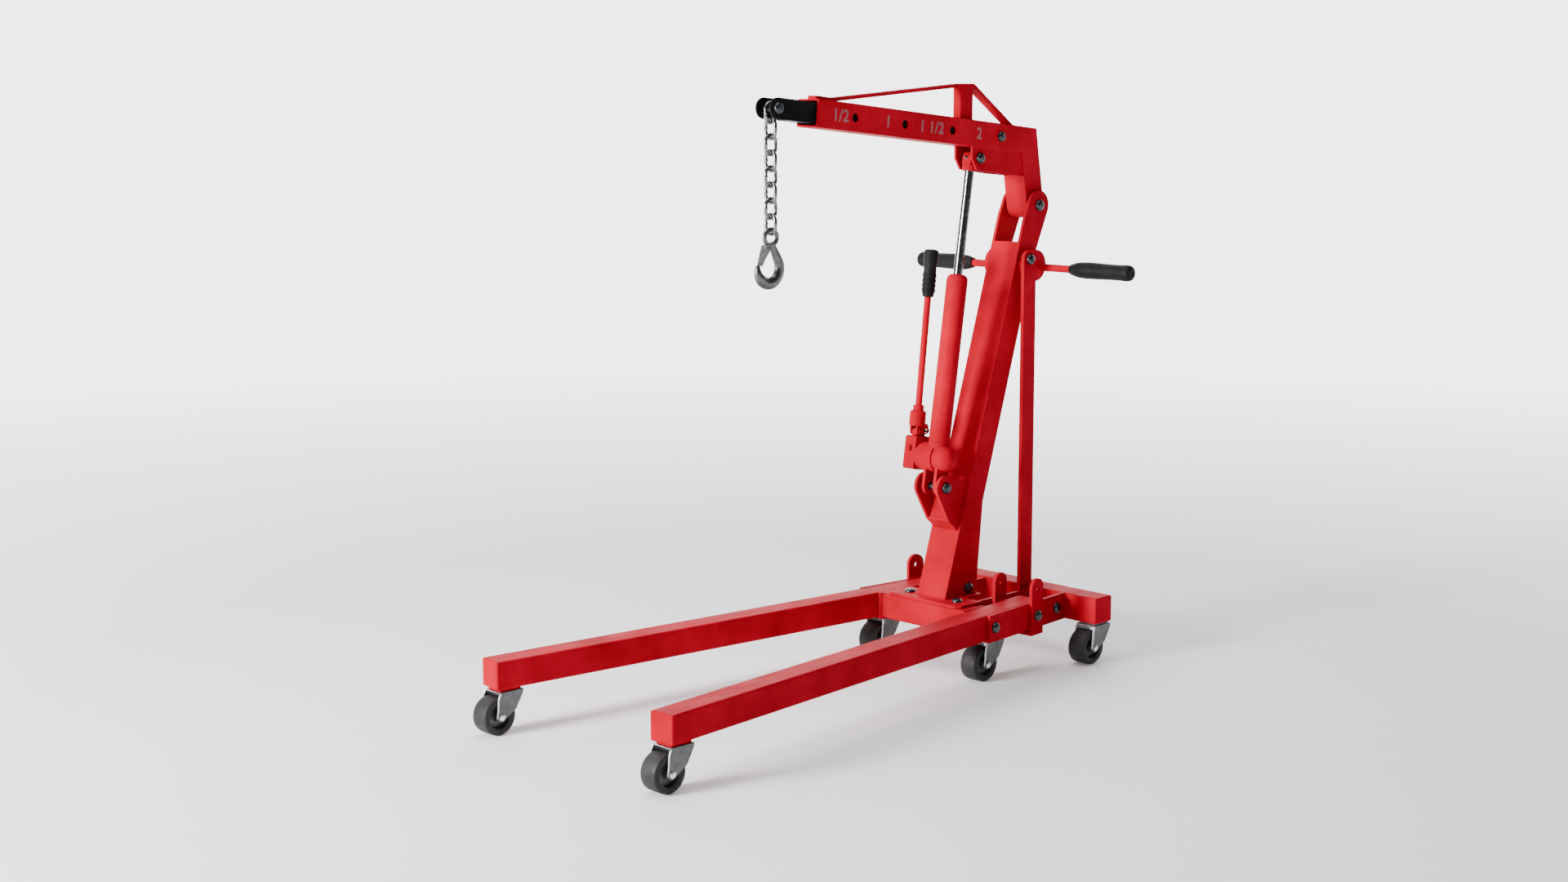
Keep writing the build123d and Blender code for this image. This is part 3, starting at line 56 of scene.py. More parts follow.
# ---------------------------------------------------------------- node helpers
class Look:
    """A material and short calls that add and join its nodes."""

    def __init__(self, name):
        self.material = bpy.data.materials.new(name)
        self.material.use_nodes = True
        self.tree = self.material.node_tree
        self.shader = self.tree.nodes["Principled BSDF"]
        self.place = self.add("ShaderNodeTexCoord").outputs["Object"]

    def add(self, kind, **settings):
        node = self.tree.nodes.new(kind)
        for key, value in settings.items():
            setattr(node, key, value)
        return node

    def put(self, socket, value):
        if isinstance(value, bpy.types.NodeSocket):
            self.tree.links.new(value, socket)
        else:
            socket.default_value = value

    def noise(self, scale, detail=3.0, rough=0.55, stretch=None):
        node = self.add("ShaderNodeTexNoise")
        source = self.place
        if stretch:
            mapping = self.add("ShaderNodeMapping")
            mapping.inputs["Scale"].default_value = stretch
            self.put(mapping.inputs["Vector"], source)
            source = mapping.outputs["Vector"]
        self.put(node.inputs["Vector"], source)
        node.inputs["Scale"].default_value = scale
        node.inputs["Detail"].default_value = detail
        node.inputs["Roughness"].default_value = rough
        return node.outputs["Fac"]

    def span(self, value, low, high, to_low, to_high):
        node = self.add("ShaderNodeMapRange")
        self.put(node.inputs["Value"], value)
        node.inputs["From Min"].default_value = low
        node.inputs["From Max"].default_value = high
        node.inputs["To Min"].default_value = to_low
        node.inputs["To Max"].default_value = to_high
        return node.outputs["Result"]

    def mix(self, factor, first, second):
        node = self.add("ShaderNodeMix", data_type="RGBA")
        self.put(node.inputs["Factor"], factor)
        for socket, value in ((node.inputs["A"], first), (node.inputs["B"], second)):
            self.put(socket, (*value, 1.0) if isinstance(value, tuple) else value)
        return node.outputs["Result"]

    def maths(self, operation, first, second):
        node = self.add("ShaderNodeMath", operation=operation)
        self.put(node.inputs[0], first)
        self.put(node.inputs[1], second)
        return node.outputs[0]

    def round_edges(self, radius):
        """A softened normal and a mask that is 1 along the edges."""
        bevel = self.add("ShaderNodeBevel", samples=6)
        bevel.inputs["Radius"].default_value = radius
        flat = self.add("ShaderNodeNewGeometry").outputs["Normal"]
        dot = self.add("ShaderNodeVectorMath", operation="DOT_PRODUCT")
        self.put(dot.inputs[0], bevel.outputs["Normal"])
        self.put(dot.inputs[1], flat)
        return bevel.outputs["Normal"], self.span(dot.outputs["Value"], 0.86, 0.995, 1.0, 0.0)

    def bump(self, height, strength, distance, normal=None):
        node = self.add("ShaderNodeBump")
        node.inputs["Strength"].default_value = strength
        node.inputs["Distance"].default_value = distance
        self.put(node.inputs["Height"], height)
        if normal is not None:
            self.put(node.inputs["Normal"], normal)
        return node.outputs["Normal"]

    def finish(self, colour, rough, normal, metallic=0.0, coat=0.0, specular=0.5):
        self.put(self.shader.inputs["Base Color"], colour)
        self.put(self.shader.inputs["Roughness"], rough)
        self.put(self.shader.inputs["Normal"], normal)
        self.shader.inputs["Metallic"].default_value = metallic
        self.shader.inputs["Coat Weight"].default_value = coat
        self.shader.inputs["Coat Roughness"].default_value = 0.12
        self.shader.inputs["Specular IOR Level"].default_value = specular
        return self.material


def paint(name, light, dark, edge, rough, radius, coat):
    """Sprayed enamel: cloudy tone, faint orange peel, and a lighter edge colour along the edges, part wear and, on
    the red, a painted edge highlight.
    """
    look = Look(name)
    normal, rim = look.round_edges(radius)
    cloud = look.span(look.noise(7.0, 5.0), 0.35, 0.68, 0.0, 1.0)
    fine = look.span(look.noise(85.0, 4.0), 0.3, 0.7, 0.0, 1.0)
    colour = look.mix(cloud, dark, light)
    colour = look.mix(look.span(fine, 0.0, 1.0, 0.0, 0.10), colour, dark)
    # Lighter edge colour on the rims: wear, and for the red a painted highlight along the edges.
    wear_and_highlight = look.maths("MULTIPLY", rim, look.span(look.noise(38.0, 6.0), 0.44, 0.66, 0.0, 0.75))
    colour = look.mix(wear_and_highlight, colour, edge)
    scuff = look.noise(26.0, 8.0, 0.7, stretch=(1.0, 0.35, 1.6))
    roughness = look.span(scuff, 0.35, 0.72, rough - 0.06, rough + 0.12)
    peel = look.noise(420.0, 2.0)
    waves = look.noise(16.0, 2.0)
    height = look.maths("ADD", look.maths("MULTIPLY", peel, 0.35), waves)
    return look.finish(
        colour, roughness, look.bump(height, 0.12, 0.0012, normal), coat=coat, specular=0.02
    )


def metal(name, light, dark, rough, grain, radius=0.0008, speckle=55.0, depth=0.0004, shine=1.0):
    """Bare or plated steel: speckled tone, brushed or cast grain and edges lightened as a painted highlight."""
    look = Look(name)
    normal, rim = look.round_edges(radius)
    tone = look.span(look.noise(speckle, 6.0, 0.65), 0.32, 0.7, 0.0, 1.0)
    colour = look.mix(tone, dark, light)
    stain = look.span(look.noise(speckle * 0.2, 4.0), 0.5, 0.75, 0.0, 0.5)
    colour = look.mix(stain, colour, dark)
    # Edges mixed towards the light tone: a painted edge highlight.
    colour = look.mix(look.maths("MULTIPLY", rim, 0.5), colour, light)
    roughness = look.span(look.noise(speckle * 2.3, 5.0), 0.3, 0.7, rough - 0.08, rough + 0.12)
    height = look.noise(260.0, 4.0, 0.6, stretch=grain)
    return look.finish(colour, roughness, look.bump(height, 0.35, depth, normal), metallic=shine)


def rubber(name, light, dark, rough, scale, sheen=0.35):
    """Moulded rubber: charcoal with a fine pebbled skin, greyer along the edges as dust and as a painted sheen."""
    look = Look(name)
    normal, rim = look.round_edges(0.001)
    colour = look.mix(look.span(look.noise(24.0, 5.0), 0.35, 0.7, 0.0, 1.0), dark, light)
    # Greyer rims: dust, and a painted sheen along the edges.
    dust_and_painted_sheen = look.maths("MULTIPLY", rim, look.span(look.noise(70.0, 4.0), 0.4, 0.7, 0.0, 0.5))
    colour = look.mix(dust_and_painted_sheen, colour, (0.075, 0.075, 0.08))
    roughness = look.span(look.noise(90.0, 4.0), 0.3, 0.7, rough - 0.1, rough + 0.1)
    height = look.noise(scale, 3.0, 0.6)
    return look.finish(
        colour, roughness, look.bump(height, 0.3, 0.0006, normal), specular=sheen
    )


RED = (0.48, 0.0010, 0.017)
RED_DARK = (0.33, 0.0006, 0.010)
# A brighter copy of the red, laid on the edges as a painted highlight.
RED_EDGE_HIGHLIGHT = (0.62, 0.010, 0.028)
EVEN = (1.0, 1.0, 1.0)      # grain that runs no way in particular
LOOKS = {
    "red_paint": paint("enamel_red", RED, RED_DARK, RED_EDGE_HIGHLIGHT, rough=0.50, radius=0.003, coat=0.0),
    "black_paint": paint(
        "enamel_black", (0.012, 0.012, 0.013), (0.005, 0.005, 0.006), (0.08, 0.08, 0.085),
        rough=0.42, radius=0.002, coat=0.05,
    ),
    "bolt_steel": metal(
        "steel_bolt", (0.085, 0.091, 0.098), (0.035, 0.038, 0.042), 0.32, EVEN, radius=0.001
    ),
    "bare_steel": metal(
        "steel_plate", (0.19, 0.193, 0.20), (0.12, 0.123, 0.13), 0.36, (1.0, 1.0, 5.0)
    ),
    "zinc_chain": metal(
        "zinc_chain", (0.25, 0.252, 0.26), (0.12, 0.122, 0.128), 0.22, EVEN,
        radius=0.0006, speckle=120.0,
    ),
    "zinc_plate": metal(
        "zinc_fork", (0.150, 0.157, 0.160), (0.092, 0.097, 0.100), 0.44, (1.0, 5.0, 1.0),
        radius=0.0012, speckle=45.0,
    ),
    "forged_hook": metal(
        "steel_forged", (0.165, 0.165, 0.17), (0.075, 0.075, 0.08), 0.32, EVEN,
        radius=0.001, speckle=75.0, depth=0.0012,
    ),
    "chrome_rod": metal(
        "chrome_rod", (0.20, 0.203, 0.212), (0.145, 0.15, 0.158), 0.15, (1.0, 1.0, 0.15),
        radius=0.0005, speckle=30.0, depth=0.00008,
    ),
    "bronze": metal("bronze_bush", (0.60, 0.42, 0.18), (0.36, 0.24, 0.10), 0.35, EVEN),
    "black_rubber": rubber(
        "rubber_grip", (0.0085, 0.0085, 0.0095), (0.004, 0.004, 0.0045), 0.55, 520.0, sheen=0.12
    ),
    "caster_tyre": rubber("rubber_tyre", (0.020, 0.020, 0.022), (0.009, 0.009, 0.010), 0.60, 380.0),
}
HUB = metal(
    "hub_cast", (0.13, 0.135, 0.145), (0.05, 0.052, 0.058), 0.48, EVEN,
    radius=0.001, speckle=90.0, depth=0.0008, shine=0.6,
)
# Bright steel: the real finish of the races and axle ends, and a painted highlight where it colours the fork's
# rolled edge.
BRIGHT_STEEL_AND_HIGHLIGHT = metal("bright_steel_and_highlight", (0.80, 0.81, 0.82), (0.62, 0.63, 0.65), 0.28, EVEN)
STENCIL = paint(
    "stencil_paint", (0.33, 0.15, 0.16), (0.24, 0.09, 0.10), (0.30, 0.06, 0.07),
    rough=0.5, radius=0.0004, coat=0.0,
)

for entry in frame["record"]["subparts"]:
    for place in frame["nodes"][entry["node"]].material_slots:
        place.material = LOOKS[entry["material_slot"]]


# ---------------------------------------------------------------- mesh helpers
def piece(name, vertices, faces, material, body, sharp=38.0):
    """A mesh object that rides on a body, sharp where its faces turn by more than an angle."""
    mesh = bpy.data.meshes.new(name)
    mesh.from_pydata([tuple(v) for v in vertices], [], faces)
    mesh.validate()
    mesh.shade_smooth()
    mesh.set_sharp_from_angle(angle=radians(sharp))
    mesh.materials.append(material)
    thing = bpy.data.objects.new(name, mesh)
    bpy.context.scene.collection.objects.link(thing)
    if body:
        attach(thing, body)
    return thing


def skin(rings, loop):
    """Faces between rings of equal length, capped at both ends unless the rings close up."""
    size = len(rings[0])
    vertices = [point for ring in rings for point in ring]
    faces = []
    last = len(rings) if loop else len(rings) - 1
    for i in range(last):
        a = i * size
        b = ((i + 1) % len(rings)) * size
        for j in range(size):
            k = (j + 1) % size
            faces.append((a + j, a + k, b + k, b + j))
    if not loop:
        faces.append(tuple(range(size - 1, -1, -1)))
        faces.append(tuple((len(rings) - 1) * size + j for j in range(size)))
    return vertices, faces


def tube_rings(points, radius, sides=12, loop=False, side=None):
    """Rings of a tube along points; radius is a number or gives (width, depth) at each point."""
    count = len(points)
    rings = []
    across = side or Vector((1, 0, 0))
    for i, point in enumerate(points):
        before = points[i - 1] if loop or i > 0 else point
        after = points[(i + 1) % count] if loop or i < count - 1 else point
        along = (after - before).normalized()
        across = (across - along * across.dot(along)).normalized()
        up = along.cross(across)
        wide, deep = radius(i) if callable(radius) else (radius, radius)
        ring = []
        for j in range(sides):
            a = 2 * pi * j / sides
            ring.append(point + across * (wide * cos(a)) + up * (deep * sin(a)))
        rings.append(ring)
    return rings


def lathe_rings(profile, centre, axis, sides=48):
    """Rings of a turned shape; profile holds (along, radius) in millimetres."""
    axis = Vector(axis).normalized()
    first = axis.orthogonal().normalized()
    second = axis.cross(first)
    rings = []
    for along, radius in profile:
        ring = []
        for j in range(sides):
            a = 2 * pi * j / sides
            spoke = first * cos(a) + second * sin(a)
            ring.append(Vector(centre) + axis * (along * MM) + spoke * (radius * MM))
        rings.append(ring)
    return rings


def turned(name, profile, centre, axis, material, body, sides=48, sharp=38.0):
    """A piece turned round an axis through centre."""
    vertices, faces = skin(lathe_rings(profile, centre, axis, sides), False)
    return piece(name, vertices, faces, material, body, sharp)


def middle(node):
    low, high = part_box(node)
    return (Vector(low) + Vector(high)) / 2


BEAD_STEP = 0.0022      # between two rings along a weld bead


def rippled(name, corners, radius, body, closed=False):
    """A painted weld bead along a path, with the ripples its passes leave."""
    corners = [Vector(corner) for corner in corners]
    legs = list(zip(corners, corners[1:] + corners[:1] if closed else corners[1:]))
    points = []
    for start, stop in legs:
        count = max(1, round((stop - start).length / BEAD_STEP))
        points += [start.lerp(stop, i / count) for i in range(count)]
    if not closed:
        points.append(corners[-1])

    def width(i):
        swell = radius * MM * (1.0 + 0.13 * sin(i * pi / 2.0) + 0.05 * sin(i * 0.37))
        if not closed and i in (0, len(points) - 1):
            swell *= 0.4
        return swell, swell

    rings = tube_rings(points, width, 9, closed, Vector((0.31, 0.52, 0.79)).normalized())
    vertices, faces = skin(rings, closed)
    return piece(name, vertices, faces, LOOKS["red_paint"], body, 70.0)


# ---------------------------------------------------------------- casters
TYRE = [
    (-27.5, 35.0), (-28.0, 37.0), (-28.0, 45.5), (-27.0, 48.4), (-24.5, 50.2), (-21.0, 50.8),
    (-8.0, 51.0), (8.0, 51.0), (21.0, 50.8), (24.5, 50.2), (27.0, 48.4), (28.0, 45.5),
    (28.0, 37.0), (27.5, 35.0), (25.0, 34.0), (-25.0, 34.0), (-27.5, 35.0),
]
HUB_SHAPE = [
    (-29.0, 6.1), (-29.0, 12.0), (-28.0, 13.0), (-14.0, 13.6), (-11.5, 16.0), (-11.0, 29.0),
    (-13.0, 31.5), (-25.5, 33.0), (-26.5, 34.4), (26.5, 34.4), (25.5, 33.0), (13.0, 31.5),
    (11.0, 29.0), (11.5, 16.0), (14.0, 13.6), (28.0, 13.0), (29.0, 12.0), (29.0, 6.1),
]
RACE = [(2.8, 9.0), (2.8, 24.0), (1.2, 26.5), (-1.2, 26.5), (-2.2, 25.0), (-2.2, 9.0)]
RACE_DROP = Vector((0, 0, -0.0035))
AXLE_END = [
    (0.0, 8.6), (0.4, 9.3), (2.6, 9.3), (3.6, 8.4), (4.0, 6.6), (4.6, 6.2), (5.4, 5.4), (5.6, 3.0),
    (5.6, 0.4),
]
AXLE_OUT = 0.0346       # where the axle's ends start, from the wheel's middle
LIP_R = 2.5
LIP_TAPER = {0: 0.9, 1: 1.9}
# Rolled edge of a fork, from beside the wheel up to its crown and down again: out, back, height.
LIP = [
    (-33.0, -49.2, 47.0), (-33.0, -49.2, 53.0), (-33.0, -47.6, 61.0), (-33.0, -46.0, 78.0),
    (-33.0, -44.4, 96.0), (-33.0, -42.4, 103.0), (-33.0, -39.6, 109.6), (-33.0, -37.6, 113.2),
    (-30.0, -36.6, 114.4),
]
LIP += [(-x, y, z) for x, y, z in reversed(LIP)]


def lip_width(i):
    """Radius of the rolled edge, thinner at its two ends."""
    width = LIP_TAPER.get(min(i, len(LIP) - 1 - i), LIP_R) * MM
    return width, width


def fork_lip(tag, swivel):
    """The rolled edge round the front of one fork, in bright steel that stands as a painted highlight."""
    spots = [Vector((swivel.x + x * MM, swivel.y + y * MM, z * MM)) for x, y, z in LIP]
    rings = tube_rings(spots, lip_width, 10, False, Vector((0, 0.6, 0.8)))
    points, quads = skin(rings, False)
    piece(f"fork_lip_{tag}", points, quads, BRIGHT_STEEL_AND_HIGHLIGHT, f"fork_{tag}")


for where in ("front", "middle", "rear"):
    for hand in ("left", "right"):
        tag = f"{where}_{hand}"
        node = f"caster_wheel_{tag}"
        centre = middle(node)
        wheel = f"wheel_{tag}"
        tyre = turned(f"tyre_{tag}", TYRE, centre, OUT, LOOKS["caster_tyre"], wheel, 72)
        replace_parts(tyre, node)
        turned(f"hub_{tag}", HUB_SHAPE, centre, OUT, HUB, wheel, 48)
        fork = f"fork_{tag}"
        swivel = Vector(JOINTS[f"swivel_{tag}"]["pos_m"])
        fork_lip(tag, swivel)
        turned(f"race_{tag}", RACE, swivel + RACE_DROP, UP, BRIGHT_STEEL_AND_HIGHLIGHT, fork)
        for end, letter in ((-1, "a"), (1, "b")):
            turned(
                f"axle_end_{tag}_{letter}", AXLE_END, centre + OUT * (end * AXLE_OUT),
                OUT * end, BRIGHT_STEEL_AND_HIGHLIGHT, fork, 32,
            )


# ---------------------------------------------------------------- chain and hook
PIN = Vector(JOINTS["upper_chain_swing"]["pos_m"])
LINKS = 8
LINK_WIRE = 5.0         # radius of the wire
LINK_HALF = 26.15       # half height of a link's centre line
BEND = 18.0             # radius of the round ends' centre line
PITCH = 41.8
FIRST_LINK = -11.65     # first link's centre below the chain pin


def link_path(centre, across):
    """Centre line of one link, up its plain side, over the top and down its welded side."""
    straight = LINK_HALF - BEND
    line = []
    for angle in range(0, 181, 15):
        a = radians(angle)
        line.append(centre + (across * (BEND * cos(a)) + UP * (straight + BEND * sin(a))) * MM)
    for level in (5.0, 2.5, 1.0, -1.0, -2.5, -5.0):
        line.append(centre + (across * -BEND + UP * level) * MM)
    for angle in range(180, 361, 15):
        a = radians(angle)
        line.append(centre + (across * (BEND * cos(a)) + UP * (BEND * sin(a) - straight)) * MM)
    return line


def link_wire(i):
    """Ten millimetre wire with a low collar where its ends are welded."""
    radius = (LINK_WIRE + {14: 0.25, 15: 0.75, 16: 0.75, 17: 0.25}.get(i, 0.0)) * MM
    return radius, radius


for node, body, numbers in (
    ("chain_upper", "upper_chain", range(LINKS // 2)),
    ("chain_lower", "lower_chain", range(LINKS // 2, LINKS)),
):
    vertices = []
    faces = []
    for n in numbers:
        centre = PIN + UP * ((FIRST_LINK - n * PITCH) * MM)
        across, side = (BACK, OUT) if n % 2 == 0 else (OUT, BACK)
        rings = tube_rings(link_path(centre, across), link_wire, 14, True, side)
        points, quads = skin(rings, True)
        faces += [tuple(k + len(vertices) for k in quad) for quad in quads]
        vertices += points
    links = piece(f"links_{body}", vertices, faces, LOOKS["zinc_chain"], body)
    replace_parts(links, node)


def baked(thing):
    """Applies a piece's modifiers to its mesh."""
    graph = bpy.context.evaluated_depsgraph_get()
    mesh = bpy.data.meshes.new_from_object(thing.evaluated_get(graph))
    thing.modifiers.clear()
    thing.data = mesh
    return thing


def forged(thing, voxel, rounds):
    """Melts a piece's overlapping parts into one smooth skin, as a forging is."""
    remesh = thing.modifiers.new("melt", "REMESH")
    remesh.mode = "VOXEL"
    remesh.voxel_size = voxel
    remesh.use_smooth_shade = True
    soften = thing.modifiers.new("soften", "SMOOTH")
    soften.factor = 0.5
    soften.iterations = rounds
    return baked(thing)


EYE_INNER = 14.0        # radius of the hole in the hook's eye
EYE_PLAY = 0.5          # between the last link and the eye it hangs in
EYE_ACROSS = 22.4       # centre line of the eye, a little wider than it is high
EYE_HIGH = 20.9
LAST_LINK = FIRST_LINK - (LINKS - 1) * PITCH - LINK_HALF + LINK_WIRE
EYE = PIN + UP * ((LAST_LINK + EYE_PLAY - EYE_INNER) * MM)
BOWL = EYE + (BACK * -8.0 - UP * 82.0) * MM
BOWL_R = 40.0
BOWL_HALF = (12.4, 14.2)    # half width and half depth of the forging round the bowl
BOWL_SWELL = 2.4            # more depth where the load hangs
LATCH = Vector(JOINTS["latch_open"]["pos_m"])


def bowl_point(angle, run=0.0):
    """Point of the hook's centre line, 0 degrees at the back, or a run off its tangent."""
    a = radians(angle)
    spoke = BACK * cos(a) + UP * sin(a)
    tangent = UP * cos(a) - BACK * sin(a)
    return BOWL + (spoke * BOWL_R + tangent * run) * MM


# Each row: angle round the bowl, run up the neck, half width, half depth.
BODY_LINE = [(28.0, 56.0, 8.6, 9.0), (28.0, 40.0, 9.4, 10.2), (28.0, 20.0, 11.0, 12.4)]
for angle in range(28, -141, -12):
    swell = BOWL_SWELL * sin(radians((28 - angle) * 0.82))
    BODY_LINE.append((angle, 0.0, BOWL_HALF[0], BOWL_HALF[1] + swell))
BODY_LINE += [
    (-152.0, 0.0, 11.6, 13.4), (-164.0, 0.0, 10.2, 11.2), (-176.0, 0.0, 8.8, 8.8),
    (-187.0, 0.0, 7.0, 6.4), (-194.0, 0.0, 5.2, 4.8), (-196.5, 0.0, 2.6, 2.4),
]
body_points = [bowl_point(angle, run) for angle, run, _, _ in BODY_LINE]
vertices, faces = skin(
    tube_rings(body_points, lambda i: (BODY_LINE[i][2] * MM, BODY_LINE[i][3] * MM), 20, False, OUT),
    False,
)
eye_line = []
for angle in range(0, 360, 9):
    a = radians(angle)
    eye_line.append(EYE + (BACK * (EYE_ACROSS * cos(a)) + UP * (EYE_HIGH * sin(a))) * MM)
ear_line = [LATCH + BACK * (y * MM) for y in (-5.0, -2.0, 4.0, 14.0)]
for line, radius, closed in (
    (eye_line, lambda i: (6.2 * MM, 6.6 * MM), True),
    (ear_line, lambda i: (5.0 * MM, (4.2, 5.6, 5.6, 5.2)[i] * MM), False),
):
    points, quads = skin(tube_rings(line, radius, 18, closed, OUT), closed)
    faces += [tuple(k + len(vertices) for k in quad) for quad in quads]
    vertices += points
hook = piece("hook_forging", vertices, faces, LOOKS["forged_hook"], "hook_body")
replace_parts(forged(hook, 0.0014, 6), "hook")


# ---------------------------------------------------------------- safety latch
LATCH_FALL = BOWL + (BACK * -24.0 + UP * 10.0) * MM - LATCH     # from its pin to its end
LATCH_DOWN = LATCH_FALL.normalized()
LATCH_AHEAD = LATCH_DOWN.cross(OUT)
LATCH_FACE = 8.8        # outer face of the pressing ahead of its pin
LATCH_GAUGE = 2.0
LATCH_STATIONS = [      # share of the reach, half width, depth of the cheeks
    (-0.11, 11.4, 10.5), (-0.08, 12.4, 13.4), (0.10, 12.8, 14.2), (0.24, 12.6, 11.6),
    (0.50, 12.0, 7.4), (0.80, 11.2, 3.8), (1.075, 10.6, 2.6), (1.09, 9.8, 2.2),
]


def pressing(share, half, depth):
    """One channel-shaped section of the pressed latch."""
    back = LATCH_FACE - depth
    inner = half - LATCH_GAUGE
    floor = LATCH_FACE - LATCH_GAUGE
    outline = [
        (-half, back), (-half, LATCH_FACE - 1.0), (1.0 - half, LATCH_FACE), (half - 1.0, LATCH_FACE),
        (half, LATCH_FACE - 1.0), (half, back), (inner, back), (inner, floor), (-inner, floor),
        (-inner, back),
    ]
    spot = LATCH + LATCH_FALL * share
    return [spot + (OUT * x + LATCH_AHEAD * ahead) * MM for x, ahead in outline]


vertices, faces = skin([pressing(*station) for station in LATCH_STATIONS], False)
latch = piece("latch_pressing", vertices, faces, LOOKS["bare_steel"], "latch", 30.0)
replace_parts(latch, "hook_latch")
turned(
    "latch_rivet", [(-13.6, 0.3), (-13.6, 2.6), (-12.6, 3.6), (12.6, 3.6), (13.6, 2.6), (13.6, 0.3)],
    LATCH, OUT, LOOKS["bolt_steel"], "latch", 24,
)


# ---------------------------------------------------------------- grips
def moulded(stations, steps=6):
    """Smooth profile through (along, radius) stations, in millimetres."""
    line = [stations[0]]
    for i in range(len(stations) - 1):
        before = stations[max(0, i - 1)]
        start, stop = stations[i], stations[i + 1]
        after = stations[min(len(stations) - 1, i + 2)]
        for j in range(1, steps + 1):
            t = j / steps
            spot = []
            for a, b, c, d in zip(before, start, stop, after):
                ahead = (c - a) * 0.5
                leave = (d - b) * 0.5
                curve = (2 * t**3 - 3 * t**2 + 1) * b + (t**3 - 2 * t**2 + t) * ahead
                spot.append(curve + (3 * t**2 - 2 * t**3) * c + (t**3 - t**2) * leave)
            line.append(tuple(spot))
    return line


low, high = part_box("handle_grips")
bar_centre = (Vector(low) + Vector(high)) / 2
GRIP_LENGTH = 221.0
HANDLE_BAR_R = 11.3
HANDLE_GRIP = moulded([
    (0.0, 13.4), (1.5, 15.4), (8.0, 17.2), (18.0, 20.2), (34.0, 23.0), (62.0, 24.4), (95.0, 24.0),
    (135.0, 23.0), (172.0, 22.8), (196.0, 23.6), (207.0, 23.4), (215.0, 21.0), (219.6, 15.4),
    (221.0, 9.6), (220.0, 5.0), (218.6, 0.5),
])
for end, hand in ((1, "left"), (-1, "right")):
    start = bar_centre + OUT * (end * (high[0] - GRIP_LENGTH * MM))
    profile = [(0.0, HANDLE_BAR_R)] + HANDLE_GRIP
    grip = turned(
        f"grip_{hand}", profile, start, (end, 0, 0), LOOKS["black_rubber"], "base", 56, 50.0
    )
    if end > 0:
        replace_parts(grip, "handle_grips")

lean = radians(6.3)
lever = BACK * sin(lean) + UP * cos(lean)
pump_pivot = Vector(JOINTS["pump_stroke"]["pos_m"])
PUMP_BAR_R = 10.3
PUMP_GRIP_FOOT = 0.395      # up the lever from its pivot
PUMP_GRIP = moulded([
    (0.0, 12.6), (1.5, 16.4), (9.0, 17.0), (14.0, 18.6), (20.0, 20.6), (27.0, 18.8), (34.0, 20.8),
    (41.0, 19.0), (48.0, 20.8), (55.0, 19.0), (62.0, 20.6), (72.0, 18.9), (86.0, 18.6),
    (97.0, 20.0), (106.0, 21.4), (126.0, 21.6), (134.0, 20.4), (137.6, 16.0), (139.0, 9.0),
    (138.4, 0.5),
])
pump_grip = turned(
    "grip_pump", [(0.0, PUMP_BAR_R)] + PUMP_GRIP, pump_pivot + lever * PUMP_GRIP_FOOT, lever,
    LOOKS["black_rubber"], "pump_lever", 56, 50.0,
)
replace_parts(pump_grip, "pump_grip")


# ---------------------------------------------------------------- painted rod end
RAM_AXIS = Vector(JOINTS["rod_slide"]["axis"]).normalized()
RAM_AHEAD = RAM_AXIS.cross(OUT) * -1
RAM_LENGTH = 0.9587     # between the middles of its two eyes
ROD_EYE = Vector(JOINTS["ram_tilt"]["pos_m"]) + RAM_AXIS * RAM_LENGTH
ROD_EYE_R = 18.7
ROD_EYE_HALF = 16.7
COLLAR_TOP = -20.0      # along the ram from the middle of the eye


def eye_outline(x, inset):
    """Outline of the painted rod end at one side station, round over the eye."""
    radius = ROD_EYE_R - inset
    outline = [(radius * cos(radians(a)), radius * sin(radians(a))) for a in range(0, 181, 12)]
    outline += [(-radius, COLLAR_TOP), (radius, COLLAR_TOP)]
    return [ROD_EYE + (RAM_AHEAD * u + RAM_AXIS * v + OUT * x) * MM for u, v in outline]


vertices, faces = skin(
    [eye_outline(side * half, inset) for side, half, inset in (
        (-1, ROD_EYE_HALF, 1.4), (-1, ROD_EYE_HALF - 1.0, 0.2), (-1, ROD_EYE_HALF - 2.0, 0.0),
        (1, ROD_EYE_HALF - 2.0, 0.0), (1, ROD_EYE_HALF - 1.0, 0.2), (1, ROD_EYE_HALF, 1.4),
    )],
    False,
)
rod_end = piece("rod_end_enamel", vertices, faces, LOOKS["red_paint"], "rod")
rod_collar = turned(
    "rod_collar_enamel",
    [(-38.0, 13.8), (-38.0, 20.4), (-37.2, 21.4), (-36.0, 21.8), (-21.6, 21.8), (-20.4, 21.4),
     (-19.6, 20.4), (-19.6, 12.0)],
    ROD_EYE, RAM_AXIS, LOOKS["red_paint"], "rod",
)
nipple = turned(
    "rod_grease_nipple",
    [(-1.0, 0.2), (-1.0, 4.6), (1.4, 4.6), (1.8, 3.0), (2.8, 3.2)]
    + [(5.6 + 3.9 * sin(radians(a)), 3.9 * cos(radians(a))) for a in range(-48, 90, 12)],
    ROD_EYE + RAM_AHEAD * ROD_EYE_R * MM, RAM_AHEAD, LOOKS["bare_steel"], "rod", 24,
)


